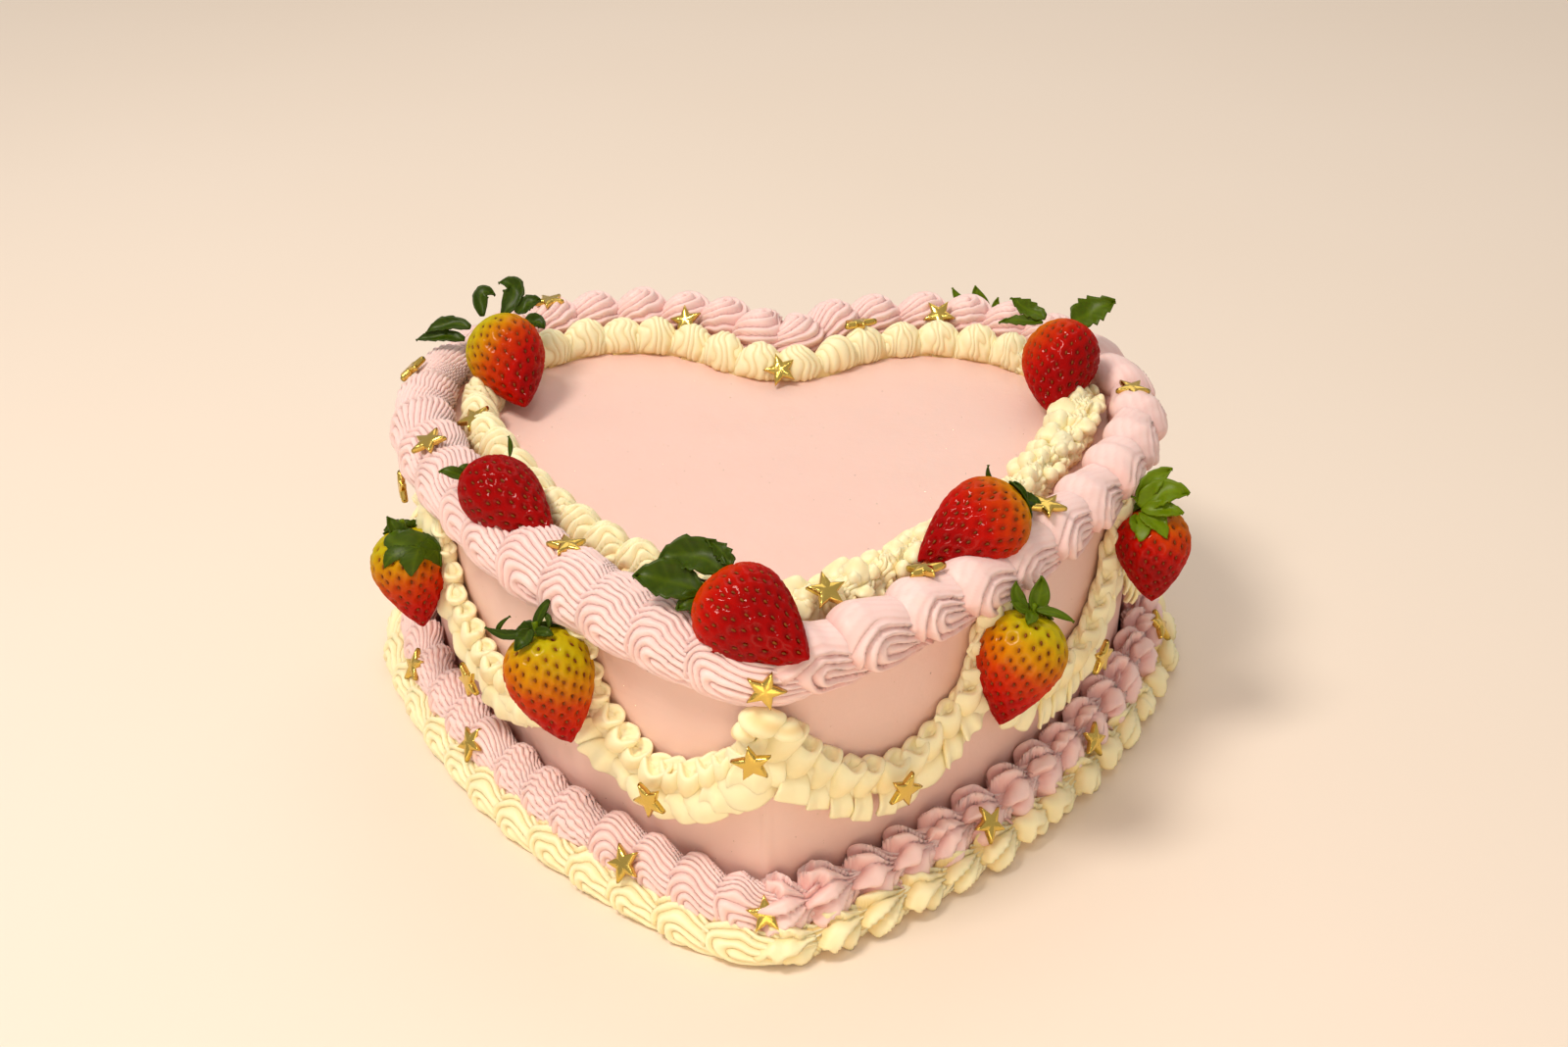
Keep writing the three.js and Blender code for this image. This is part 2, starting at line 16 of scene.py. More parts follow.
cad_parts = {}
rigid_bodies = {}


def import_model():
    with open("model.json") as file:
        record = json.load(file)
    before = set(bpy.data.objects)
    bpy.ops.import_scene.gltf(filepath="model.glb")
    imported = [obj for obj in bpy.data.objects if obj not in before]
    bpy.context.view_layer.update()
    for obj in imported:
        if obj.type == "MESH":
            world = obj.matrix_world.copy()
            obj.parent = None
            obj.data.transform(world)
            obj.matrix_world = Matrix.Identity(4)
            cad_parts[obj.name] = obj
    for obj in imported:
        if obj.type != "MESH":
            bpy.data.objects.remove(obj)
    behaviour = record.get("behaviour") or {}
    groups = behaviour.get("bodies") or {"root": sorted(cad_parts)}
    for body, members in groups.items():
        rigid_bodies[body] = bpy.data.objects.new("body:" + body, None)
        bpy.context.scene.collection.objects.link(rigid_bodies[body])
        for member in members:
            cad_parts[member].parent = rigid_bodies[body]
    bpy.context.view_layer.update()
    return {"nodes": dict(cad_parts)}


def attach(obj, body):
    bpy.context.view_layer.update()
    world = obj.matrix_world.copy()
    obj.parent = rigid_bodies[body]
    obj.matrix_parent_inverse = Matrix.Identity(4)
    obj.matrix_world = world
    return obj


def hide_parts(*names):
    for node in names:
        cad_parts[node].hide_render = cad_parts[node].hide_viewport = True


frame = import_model()

bl_info = {
    "name": "Heart Shaped Cake",
    "version": (1, 0, 0),
    "blender": (4, 5, 0),
    "location": "3D View > Sidebar > Cake",
    "description": "Builds a heart shaped cake with piped icing, strawberries and gold stars",
    "category": "Object",
}

MM = 0.001
BODY = "root"
SIDES = {-1: "left", 1: "right"}

# Plan of the iced heart, as in the part
LOBE_X, LOBE_Y, LOBE_RADIUS = 52.2, 26.4, 69.0
SIDE_RADIUS = 249.6
JOIN_ANGLE = math.radians(23.6)
TIP_ROUND, CLEFT_ROUND = 16.0, 9.0
CAKE_HEIGHT = 90.0
EDGE_ROUND = 2.2
SIDE_X = LOBE_X - (SIDE_RADIUS - LOBE_RADIUS) * math.cos(JOIN_ANGLE)
SIDE_Y = LOBE_Y + (SIDE_RADIUS - LOBE_RADIUS) * math.sin(JOIN_ANGLE)
OUTLINE_STEPS = 1440

# Borders. The bead is the oval that the shells wrap: millimetres out from the wall, up from the
# floor, and its half sizes. First and last are the angles round it between which the icing shows.
# Rounds are the fillets of its outline at the tip and in the cleft. The left side, the right side
# and the back were piped in different hands: style of the shells, millimetres from one to the next,
# width (folds in a fan) and depth of the ridges, and slant.
BORDERS = {
    "pink_top": {
        "node": "pink_top_border", "slot": "pink_icing", "offset": -4.0, "rounds": (12.0, 13.0),
        "bead": (-3.3, 90.0, 11.8, 12.3), "first": -42.0, "last": 158.0,
        "left": ("loops", 19.0, 2.5, 1.2, 0.2), "right": ("swirl", 19.5, 3.5, 1.9, 0.0),
        "back": ("knot", 16.0, 3.0, 1.5, 0.0),
    },
    "cream_top": {
        "node": "cream_top_border", "slot": "cream_icing", "offset": -20.0, "rounds": (7.0, 29.0),
        "bead": (-20.4, 90.0, 6.4, 10.4), "first": 4.0, "last": 178.0,
        "left": ("fold", 13.5, 3.0, 1.5, 0.0), "right": ("crumb", 12.0, 3.4, 1.0, 0.0),
        "back": ("dome", 13.5, 2.8, 1.0, 0.1),
    },
    "pink_foot": {
        "node": "pink_foot_border", "slot": "pink_icing", "offset": 11.0, "rounds": (27.0, 11.0),
        "bead": (5.4, 10.0, 8.8, 11.2), "first": -34.0, "last": 132.0,
        "left": ("loops", 15.5, 2.4, 1.15, 0.35), "right": ("comb", 14.8, 1.0, 3.2, 0.0),
        "back": ("comb", 15.5, 1.0, 3.0, 0.0),
    },
    "cream_foot": {
        "node": "cream_foot_border", "slot": "cream_icing", "offset": 11.0, "rounds": (27.0, 11.0),
        "bead": (12.2, 3.6, 7.9, 7.6), "first": -28.0, "last": 100.0,
        "left": ("loops", 16.5, 3.0, 1.25, 0.25), "right": ("frill", 14.8, 1.0, 3.0, 0.0),
        "back": ("frill", 15.5, 1.0, 2.6, 0.0),
    },
}
# The back begins at this share of each half
BACK_STARTS = 0.68
# Styles whose ridges fan out from a hinge at the tail: hinge along the pitch and across the half
FANS = {"comb": (0.88, 0.1), "frill": (0.88, 0.4)}
# Where the folds of a fan begin, in degrees above and below the way from its hinge to its head
FOLDS = {
    "comb": (-180, -60, -46, -35, -25, -15, -5, 6, 27, 34, 41, 49, 180),
    "frill": (-180, -56, -43, -31, -19, -7, 7, 30, 42, 180),
}
# How far the ridges of the other styles stand out at the outline of the head
POINTED = {"crumb": 0.14, "loops": 0.1, "swirl": 0.22, "fold": 0.26}
SHELL_KINDS = 4
# Mesh of a shell: steps along it and millimetres from row to row round it
SHELL_STEPS, SHELL_ROW = 52, 0.7
# Reach of a shell's head and tail as shares of the pitch, and how much its mesh goes beyond its rim
SHELL_HEAD, FAN_HEAD, SHELL_TAIL = 0.55, 0.57, 1.32
HEAD_MARGIN, RIM_MARGIN = 1.25, 1.12
# Size against the bead where a shell is lowest, and of the core behind what shows
SHELL_LOW, SHELL_CORE = 0.58, 0.5
CRUMB_RADIUS, CRUMB_SPACE = 3.6, 2.1

# Swags: where neighbours meet along each half, how high, and how far each hangs
JUNCTIONS = {-1: (0.0, 67.0, 149.0, 222.0, 287.0, 362.0), 1: (0.0, 77.0, 151.0, 222.0, 288.0, 362.0)}
JUNCTION_HEIGHT = 71.0
SWAG_DROPS = (28.5, 32.0, 30.0, 30.0, 28.0)
SWAG_CURVE = 0.72
CLIMB, CLIMB_WIDTH = 14.0, 4.5
RUFFLE_PITCH = {-1: 0.85 * 8.8, 1: 8.8}
RUFFLE_KINDS = 4
# Half width and depth of a cup, and how far its middle and its root stand off the wall
CUP_WIDE, CUP_DEEP, CUP_OUT, CUP_ROOT = 4.8, 4.0, 4.4, 0.3
# Section of a cup from its root over the lip and down inside: share of its girth, and height
CUP = (
    (0.30, -3.2), (0.56, -2.2), (0.74, -0.8), (0.88, 1.0), (0.97, 2.8), (1.0, 4.4), (1.02, 5.8),
    (0.99, 6.9), (0.9, 7.4), (0.79, 7.2), (0.68, 6.6), (0.56, 6.0), (0.4, 5.6), (0.2, 5.4),
)
# The three lobes of the dollop at the tip: places, turns and sizes
DOLLOP = (
    ((-0.6, -5.6, 79.8), (4.4, -5.6, 76.2), (-4.4, -5.2, 75.4)),
    ((0.2, 0.3, 0.0), (0.0, -0.4, 0.5), (0.4, 0.0, 1.0)),
    ((1.16, 1.05, 1.12), (0.72, 0.8, 0.9), (0.72, 0.75, 0.85)),
)

# Strawberries on the top: crown, tip and radius. Then, for all of them, how ripe the shoulder is
# (green at 0, orange at 0.25, red from 0.6) and how much riper the berry is on its right
TOP_BERRIES = {
    "strawberry_top_back_left": ((-97.5, 48, 112), (-84.5, 18, 97), 13.4, -0.12, 0.28),
    "strawberry_top_back_right": ((97.5, 49, 112), (90, 18, 97), 13.4, 0.3, 0.3),
    "strawberry_top_side_left": ((-91, -43, 107), (-64.5, -66.5, 101), 11.6, 0.8, 0.0),
    "strawberry_top_side_right": ((72.5, -57, 108), (42.5, -79.5, 101), 12.6, 0.12, 0.0),
    "strawberry_top_front": ((-16.5, -104.5, 107.5), (11.5, -127.5, 101), 13.2, 0.4, 0.0),
}
# Strawberries on the wall: crown and tip as distances along the half, out from the wall and up
WALL_BERRIES = {
    "strawberry_side_front_left": ((-69, 13.6, 85), (-59.5, 12.6, 49.5), 12.6, -0.12, -0.22),
    "strawberry_side_front_right": ((81.5, 13.6, 87), (72, 12.6, 51.5), 12.6, -0.05, -0.1),
    "strawberry_side_left": ((-152.5, 13.6, 75), (-143, 13.6, 43), 12.6, -0.12, 0.08),
    "strawberry_side_right": ((151.5, 13.6, 86), (148, 18, 55), 12.6, 0.35, -0.25),
    "strawberry_back_left": ((-290, 13.6, 85), (-284, 12.6, 50), 12.6, 0.3, 0.1),
    "strawberry_back_right": ((285, 13.6, 86), (291, 12.6, 51), 12.6, 0.4, -0.1),
}
# Skin that each seed has for itself, in square millimetres
SEED_AREA = 12.5
SEED_ANGLE = math.pi * (3 - math.sqrt(5))
PIT_WIDTH = 0.95
CROWN_DIP = 1.3

# Leaves of each strawberry, in millimetres from its crown as the viewer sees it: right and up for
# the start, the bend and the tip, how much nearer, the width, and how deeply the edge is notched
LEAVES = {
    "strawberry_top_front": [
        (-2, -1, -12, 4, -20.4, 2.9, 1, 11.5, 0.18), (4.3, 4.5, -5, 13, -14, 7, -3, 10.5, 0.24),
        (6.2, 6, 5, 10, -1, 13.6, -3, 4.8, 0.5), (-1, -2, -5, -3, -8, -6, 3, 6, 0.1),
    ],
    "strawberry_top_side_left": [
        (-2, -2, -6, 1, -10, 0, 2, 4, 0.0), (0, 0, -2, 2, -4, 1.5, 1, 3, 0.0),
        (11, 5, 11.5, 9, 10.4, 11.4, -1, 1.6, 0.0),
    ],
    "strawberry_top_side_right": [
        (-4, 1, -10, 5, -9, 10.5, 0, 2.2, 0.0), (0.8, -2, 0, 3, -1.8, 5.6, 1.5, 4.6, 0.0),
        (1, -3, 3, -5, 3, -9, 1, 2.4, 0.0),
    ],
    "strawberry_top_back_left": [
        (2, 3, 10, 17, 0, 14.6, -3, 7.4, 0.15), (-5, 3, -8, 15, -1, 10.4, -3, 5.8, 0.1),
        (7, 4, 10, 9, 15, 8.7, -2, 6.4, 0.2), (10, 1, 14, 2.5, 16.6, -1, 0, 6, 0.1),
        (-9, -1, -18, 3, -24.5, -3, -2, 5.6, 0.2), (-11, -5, -20, -2, -28, -5.4, -2, 5.0, 0.2),
    ],
    "strawberry_top_back_right": [
        (2.5, 2.5, 8, 7, 17, 10, -3, 11, 0.35), (-7, 4, -13, 7, -19, 11, -4, 6.6, 0.35),
        (-8, 2, -16, 4, -23, 2.2, -3, 4, 0.35),
    ],
    "strawberry_side_left": [
        (2.2, -5, -0.6, -2, -4.9, 3.7, 2, 6, 0.2), (4, -4, 9, -5, 13.4, -12, 5, 7, 0.2),
        (3.5, -5, 5.3, -9, 4.4, -14.4, 8, 7, 0.15), (2.8, -5, -1, -7, -2.4, -11.6, 7, 4.4, 0.1),
        (4, -3.5, 9, -4, 13, -7, 4, 5.4, 0.1),
    ],
    "strawberry_side_right": [
        (-4.3, 1.5, -2, 10, 5.4, 12.6, 3, 6.6, 0.15), (-4.3, 0.6, 2, 8, 10, 4.6, 6, 9, 0.18),
        (-4, 0, 2.5, 0.6, 8, -1.4, 8, 6, 0.15), (-4.3, -1, 0.5, -3, 2.4, -8.4, 8, 7, 0.15),
        (-5, -2, -5, -5, -4, -9, 6, 7.4, 0.1), (-3, 0, -5, 3, -7.4, 3.9, 2, 2, 0.0),
    ],
    "strawberry_side_front_left": [
        (-0.6, 0.6, 1, 6, 4.2, 9.6, 1, 3.2, 0.0), (2, 4.6, 4.2, 4.5, 3.4, 0.2, 2, 1.9, 0.0),
        (-2, 0.3, -8, -3, -14.6, 1, 3, 3.2, 0.1), (-11.5, -1, -11, 2, -7.4, 4.2, 2, 1.6, 0.0),
        (-1.7, 0, -3, -2, -5.2, -5.4, 6, 5, 0.1), (0, 0, 3, 0, 5, -1, 4, 3.4, 0.1),
    ],
    "strawberry_side_front_right": [
        (-1.5, 0.5, -5.5, 4, -4.9, 9.2, 1, 4.4, 0.0), (0.6, 0.5, 2.5, 5, 2.3, 10.9, 1, 6, 0.0),
        (1, 0.8, 6, 1, 11.6, -2.4, 3, 3, 0.0), (-1, 0, -4, 1.5, -6.4, 3.4, 2, 3, 0.0),
        (0, 0, -1, -1, -2, -3, 6, 4, 0.1),
    ],
    "strawberry_back_left": [
        (-2, 1, -8, 2, -11, -1, -6, 5, 0.1), (2, 1, 6, 2, 9, 0, -6, 6, 0.1),
        (3, 0, 9, 0, 12, -5, -5, 5, 0.1), (0, 0, 0, -2, -3, -8, -9, 6, 0.1),
    ],
    "strawberry_back_right": [
        (-3, 2, -14, 7, -16.6, 14, 2, 4.6, 0.0), (-2, 2, -7, 8, -8, 15, 1, 6.4, 0.0),
        (0, 1, -1, 6, 0.9, 10.8, 0, 3.6, 0.0), (0, 0, 1, -2, 4, -8, -9, 6, 0.1),
    ],
}
# Short leaves that fill each crown on the far side
FAR_LEAVES = [
    (0, 0, -3, 1, -7, -1, -4, 5, 0.15), (0, 0, 3, 1, 7, -1, -4, 5, 0.15), (0, 0, 0, 1, 1, 1, -8, 5, 0.15),
]
# How light the leaves are where they aren't the usual green
LEAF_TONE = 0.2
LEAF_TONES = {
    "strawberry_side_right": 0.75, "strawberry_side_left": 0.15, "strawberry_side_front_right": 0.35,
    "strawberry_top_back_right": 0.35, "strawberry_top_back_left": 0.05, "strawberry_top_front": 0.12,
    "strawberry_side_front_left": 0.05, "strawberry_top_side_right": 0.05, "strawberry_back_right": 0.6,
}

# Stars: reach of the points and of the notches, and the section from the underside over the edge to
# the middle, as a share of the reach and a height
STAR_POINT, STAR_NOTCH = 6.1, 2.75
STAR_LEVELS = (
    (0.35, -1.3), (0.86, -1.3), (0.97, -1.0), (1.0, -0.4), (1.0, 0.2),
    (0.95, 0.65), (0.84, 0.9), (0.55, 1.05), (0.25, 1.2),
)
FLAKE_RADIUS, FLAKE_DEPTH = 0.26, 0.06

# Stage: the camera's lens and place, the floor, and for each lamp its place and aim in metres, its
# width, its power in watts and its colour
LENS, SENSOR = 42.75, 36.0
CAMERA_PLACE = (0.0141, -0.5263, 0.3936)
VIEW_PITCH, VIEW_YAW = math.radians(57.9), math.radians(1.3)
FLOOR_SIZE, FLOOR_LEVEL = 4000.0, -0.2
SKY, SKY_STRENGTH = "#fdf6ee", 0.5
LAMPS = {
    "key": ((-0.6, -0.34, 1.33), (0, 0, 0.05), 0.36, 12.6, "#fff4e8"),
    "fill": ((-0.1, -0.95, 0.3), (0, 0, 0.05), 0.8, 0.5, "#ffeadb"),
    "bounce": ((0.04, -0.5, 0.1), (0.02, -0.1, 0.0), 0.24, 0.35, "#ffe2b8"),
    "glint": ((0.05, -0.5, 0.95), (0, 0, 0.05), 0.1, 0.6, "#fff6ee"),
    "back": ((0.15, 0.9, 1.2), (0, 0, 0.05), 0.9, 2.8, "#fff4ea"),
}
# The viewer's directions: right, up in the picture and nearer
RIGHT = np.array([1.0, 0.0, 0.0])
UPWARD = np.array([0.0, math.cos(VIEW_PITCH), math.sin(VIEW_PITCH)])
NEARER = np.array([0.0, -math.sin(VIEW_PITCH), math.cos(VIEW_PITCH)])


def linear(hex_colour):
    """An sRGB hex colour as linear red, green, blue and full alpha."""
    parts = [int(hex_colour[i : i + 2], 16) / 255 for i in (1, 3, 5)]
    return tuple(c / 12.92 if c <= 0.04045 else ((c + 0.055) / 1.055) ** 2.4 for c in parts) + (1.0,)


def feed(node, inputs):
    """Gives a node's inputs their values, or links to a socket or to the first output of a node."""
    for key, value in inputs.items():
        if isinstance(value, bpy.types.Node):
            value = value.outputs[0]
        if isinstance(value, bpy.types.NodeSocket):
            node.id_data.links.new(value, node.inputs[key])
        else:
            node.inputs[key].default_value = value
    return node


def add_node(tree, kind, inputs=None, **settings):
    """A new node with its settings, its input values and its links."""
    node = tree.nodes.new(kind)
    for key, value in settings.items():
        setattr(node, key, value)
    return feed(node, inputs or {})


def uneven(*shape, seed):
    """Repeatable values from -1 to 1."""
    return np.random.default_rng(seed).uniform(-1, 1, shape)


def ripple(x, y, seed, scale):
    """A smooth random surface, from about -1 to 1, with waves of about that scale."""
    rng = np.random.default_rng(seed)
    total = np.zeros(np.broadcast(x, y).shape)
    for _ in range(6):
        kx, ky = rng.normal(0, 1.0 / scale, 2)
        total = total + np.sin(2 * math.pi * (kx * x + ky * y) + rng.uniform(0, 2 * math.pi))
    return total / 3.0


class Outline:
    """The outline of the heart, moved out by an offset, with distances from the tip to the cleft."""

    def __init__(self, offset, tip_round, cleft_round):
        side, lobe = SIDE_RADIUS + offset, LOBE_RADIUS + offset
        tip_y = SIDE_Y - math.sqrt((side - tip_round) ** 2 - SIDE_X**2)
        cleft_y = LOBE_Y + math.sqrt((lobe + cleft_round) ** 2 - LOBE_X**2)
        tip_end = math.atan2(tip_y - SIDE_Y, -SIDE_X)
        lobe_end = math.atan2(cleft_y - LOBE_Y, -LOBE_X)
        self.offset = offset
        self.arcs = [
            (0, tip_y, tip_round, -math.pi / 2, tip_end, 1),
            (SIDE_X, SIDE_Y, side, tip_end, -JOIN_ANGLE, 1),
            (LOBE_X, LOBE_Y, lobe, -JOIN_ANGLE, lobe_end, 1),
            (0, cleft_y, cleft_round, lobe_end + math.pi, 1.5 * math.pi, -1),
        ]
        self.lengths = [arc[2] * abs(arc[4] - arc[3]) for arc in self.arcs]
        self.half = sum(self.lengths)

    def at(self, distances, out=None):
        """Points of the plan at distances along the outline, moved to a distance out of the wall."""
        wrapped = np.asarray(distances, float)
        wrapped = wrapped - 2 * self.half * np.round(wrapped / (2 * self.half))
        rest = np.abs(wrapped)
        points, normals = np.zeros((*rest.shape, 2)), np.zeros((*rest.shape, 2))
        start = 0.0
        for number, (x, y, radius, first, last, facing) in enumerate(self.arcs):
            last_arc = number == len(self.arcs) - 1
            inside = (rest >= start) & ((rest < start + self.lengths[number]) | last_arc)
            angle = first + np.sign(last - first) * (rest - start) / radius
            across = np.stack([np.cos(angle), np.sin(angle)], -1)
            points[inside] = (np.array([x, y]) + radius * across)[inside]
            normals[inside] = (facing * across)[inside]
            start += self.lengths[number]
        if out is not None:
            points = points + (np.asarray(out)[..., None] - self.offset) * normals
        points[..., 0] *= np.where(wrapped < 0, -1, 1)
        return points


WALL = Outline(0.0, TIP_ROUND, CLEFT_ROUND)


def around(count):
    """Angles evenly round a circle."""
    return np.linspace(0, 2 * math.pi, count, endpoint=False)


def ball_grid(rows, columns):
    """Latitudes of the rows of a ball, without its poles, and longitudes of its columns."""
    return np.linspace(-math.pi / 2, math.pi / 2, rows + 2)[1:-1][:, None], around(columns)


def grid_points(x, y, z, *poles):
    """The points of a grid, row by row, with its poles behind them."""
    grid = np.stack(np.broadcast_arrays(x, y, z), -1).reshape(-1, 3)
    return np.concatenate([grid, poles]) if poles else grid


def unit(vectors, least=1e-9):
    """Vectors brought to length 1."""
    return vectors / np.maximum(np.linalg.norm(vectors, axis=-1, keepdims=True), least)


def outward(points, faces):
    """The faces, turned round where the closed shape would be inside out."""
    fans = np.array([(face[0], *pair) for face in faces for pair in zip(face[1:], face[2:])])
    first, second, third = np.moveaxis(np.asarray(points, float)[fans], 1, 0)
    volume = (first * np.cross(second, third)).sum()
    return faces if volume > 0 else [face[::-1] for face in faces]


def closed(points, rows, **values):
    """Points, faces and values of rows that each run round in a loop, with a pole at each end."""
    columns = (len(points) - 2) // rows
    first, last, end = rows * columns, rows * columns + 1, (rows - 1) * columns
    ring = [(j, (j + 1) % columns) for j in range(columns)]
    faces = []
    for start in range(0, end, columns):
        faces += [(start + j, start + k, start + columns + k, start + columns + j) for j, k in ring]
    for j, k in ring:
        faces += [(first, k, j), (last, end + j, end + k)]
    return points, outward(points, faces), values


def sheet(front, thickness, **values):
    """Points, faces and values of a thin closed solid: a grid in front, and its back behind it."""
    rows, columns = front.shape[:2]
    normal = unit(np.cross(np.gradient(front, axis=0), np.gradient(front, axis=1)))
    back = front - normal * np.asarray(thickness)[..., None]
    points = np.concatenate([front.reshape(-1, 3), back.reshape(-1, 3)])
    total = rows * columns
    number = np.arange(total).reshape(rows, columns)
    faces = []
    for i in range(rows - 1):
        for j in range(columns - 1):
            a, b, c, d = (int(number[place]) for place in ((i, j), (i, j + 1), (i + 1, j + 1), (i + 1, j)))
            faces += [(a, b, c, d), (total + d, total + c, total + b, total + a)]
    edges = number[0], number[1:, -1], number[-1, -2::-1], number[-2:0:-1, 0]
    rim = np.concatenate(edges).tolist()
    faces += [(b, a, total + a, total + b) for a, b in zip(rim, rim[1:] + rim[:1])]
    doubled = {key: np.concatenate([np.ravel(numbers)] * 2) for key, numbers in values.items()}
    return points, outward(points, faces), doubled


def joined(solids):
    """Points, faces and values of several solids as one."""
    points, faces, values = zip(*solids)
    starts = np.cumsum([0] + [len(own) for own in points]).tolist()
    moved = [tuple(start + v for v in face) for start, own in zip(starts, faces) for face in own]
    return np.concatenate(points), moved, {key: np.concatenate([v[key] for v in values]) for key in values[0]}


def mesh_from(name, points, faces, values=None):
    """A smooth shaded mesh from points in millimetres, faces, and named values for each point."""
    mesh = bpy.data.meshes.new(name)
    mesh.from_pydata((np.asarray(points, float) * MM).tolist(), [], faces)
    for key, numbers in (values or {}).items():
        mesh.attributes.new(key, "FLOAT", "POINT").data.foreach_set("value", np.ravel(numbers))
    mesh.polygons.foreach_set("use_smooth", [True] * len(mesh.polygons))
    mesh.update()
    return mesh


def keep(name, data, material=None):
    """An object for a mesh, curve, lamp or camera, in the scene's main collection."""
    obj = bpy.data.objects.new(name, data)
    bpy.context.scene.collection.objects.link(obj)
    if material:
        data.materials.append(material)
    return obj


def finish_piece(obj, slot, *nodes):
    """The piece moves with the cake and stands for these nodes, which are hidden; the slot is not used."""
    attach(obj, BODY)
    if nodes:
        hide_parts(*nodes)


def new_tree(name, **sockets):
    """An empty Geometry Nodes tree with named inputs; returns a function that adds nodes, and the inputs."""
    tree = bpy.data.node_groups.new(name, "GeometryNodeTree")
    tree.interface.new_socket("Geometry", in_out="INPUT", socket_type="NodeSocketGeometry")
    for key, kind in sockets.items():
        tree.interface.new_socket(key.replace("_", " "), in_out="INPUT", socket_type="NodeSocket" + kind)
    tree.interface.new_socket("Geometry", in_out="OUTPUT", socket_type="NodeSocketGeometry")
    return functools.partial(add_node, tree), add_node(tree, "NodeGroupInput").outputs


def end_tree(add, geometry, finish):
    """Realizes the instances, gives them their material and hands them on; returns the whole tree."""
    real = add("GeometryNodeRealizeInstances", {"Geometry": geometry})
    coated = add("GeometryNodeSetMaterial", {"Geometry": real, "Material": finish})
    return add("NodeGroupOutput", {"Geometry": coated}).id_data


def piping_tree():
    """Nodes that set parts at places along a straight row, then bend the row round an outline."""
    add, given = new_tree(
        "Parts along an outline", Outline="Object", Parts="Collection", Bend="Bool", Size_Spread="Float",
        Turn_Spread="Float", Seed="Int", Finish="Material",
    )
    parts = add(
        "GeometryNodeCollectionInfo",
        {"Collection": given["Parts"], "Separate Children": True, "Reset Children": True},
    )
    kind = add("GeometryNodeInputNamedAttribute", {"Name": "kind"}, data_type="INT")
    turn = add("GeometryNodeInputNamedAttribute", {"Name": "turn"}, data_type="FLOAT_VECTOR")
    size = add("GeometryNodeInputNamedAttribute", {"Name": "size"}, data_type="FLOAT_VECTOR")
    less = add("ShaderNodeMath", {0: 1.0, 1: given["Size Spread"]}, operation="SUBTRACT")
    more = add("ShaderNodeMath", {0: 1.0, 1: given["Size Spread"]}, operation="ADD")
    spread = add(
        "FunctionNodeRandomValue", {"Min": less, "Max": more, "Seed": given["Seed"]}, data_type="FLOAT_VECTOR"
    )
    sized = add("ShaderNodeVectorMath", {0: size, 1: spread}, operation="MULTIPLY")
    back = add("ShaderNodeMath", {0: given["Turn Spread"], 1: -1.0}, operation="MULTIPLY")
    sway = add(
        "FunctionNodeRandomValue",
        {"Min": back, "Max": given["Turn Spread"], "Seed": given["Seed"]},
        data_type="FLOAT_VECTOR",
    )
    turned = add("ShaderNodeVectorMath", {0: turn, 1: sway}, operation="ADD")
    set_out = add(
        "GeometryNodeInstanceOnPoints",
        {
            "Points": given["Geometry"],
            "Instance": parts,
            "Pick Instance": True,
            "Instance Index": kind,
            "Rotation": add("FunctionNodeEulerToRotation", {"Euler": turned}),
            "Scale": sized,
        },
    )
    row = add("GeometryNodeRealizeInstances", {"Geometry": set_out})
    place = add("ShaderNodeSeparateXYZ", {0: add("GeometryNodeInputPosition")}).outputs
    # Distances count from the tip, and the curve starts at the cleft
    outline = add("GeometryNodeObjectInfo", {"Object": given["Outline"]}).outputs["Geometry"]
    length = add("GeometryNodeCurveLength", {"Curve": outline})
    along = add("ShaderNodeMath", {0: length, 1: 0.5, 2: place["X"]}, operation="MULTIPLY_ADD")
    wrapped = add("ShaderNodeMath", {0: along, 1: length}, operation="FLOORED_MODULO")
    spot = add(
        "GeometryNodeSampleCurve", {"Curves": outline, "Length": wrapped}, mode="LENGTH", use_all_curves=True
    ).outputs
    inwards = add("ShaderNodeVectorMath", {0: (0.0, 0.0, 1.0), 1: spot["Tangent"]}, operation="CROSS_PRODUCT")
    aside = add("ShaderNodeVectorMath", {0: inwards, "Scale": place["Y"]}, operation="SCALE")
    raised = add("ShaderNodeCombineXYZ", {"Z": place["Z"]})
    level = add("ShaderNodeVectorMath", {0: aside, 1: raised}, operation="ADD")
    bent_place = add("ShaderNodeVectorMath", {0: spot["Position"], 1: level}, operation="ADD")
    bent = add("GeometryNodeSetPosition", {"Geometry": row, "Position": bent_place})
    either = {"Switch": given["Bend"], "False": row, "True": bent}
    chosen = add("GeometryNodeSwitch", either, input_type="GEOMETRY")
    return end_tree(add, chosen, given["Finish"])


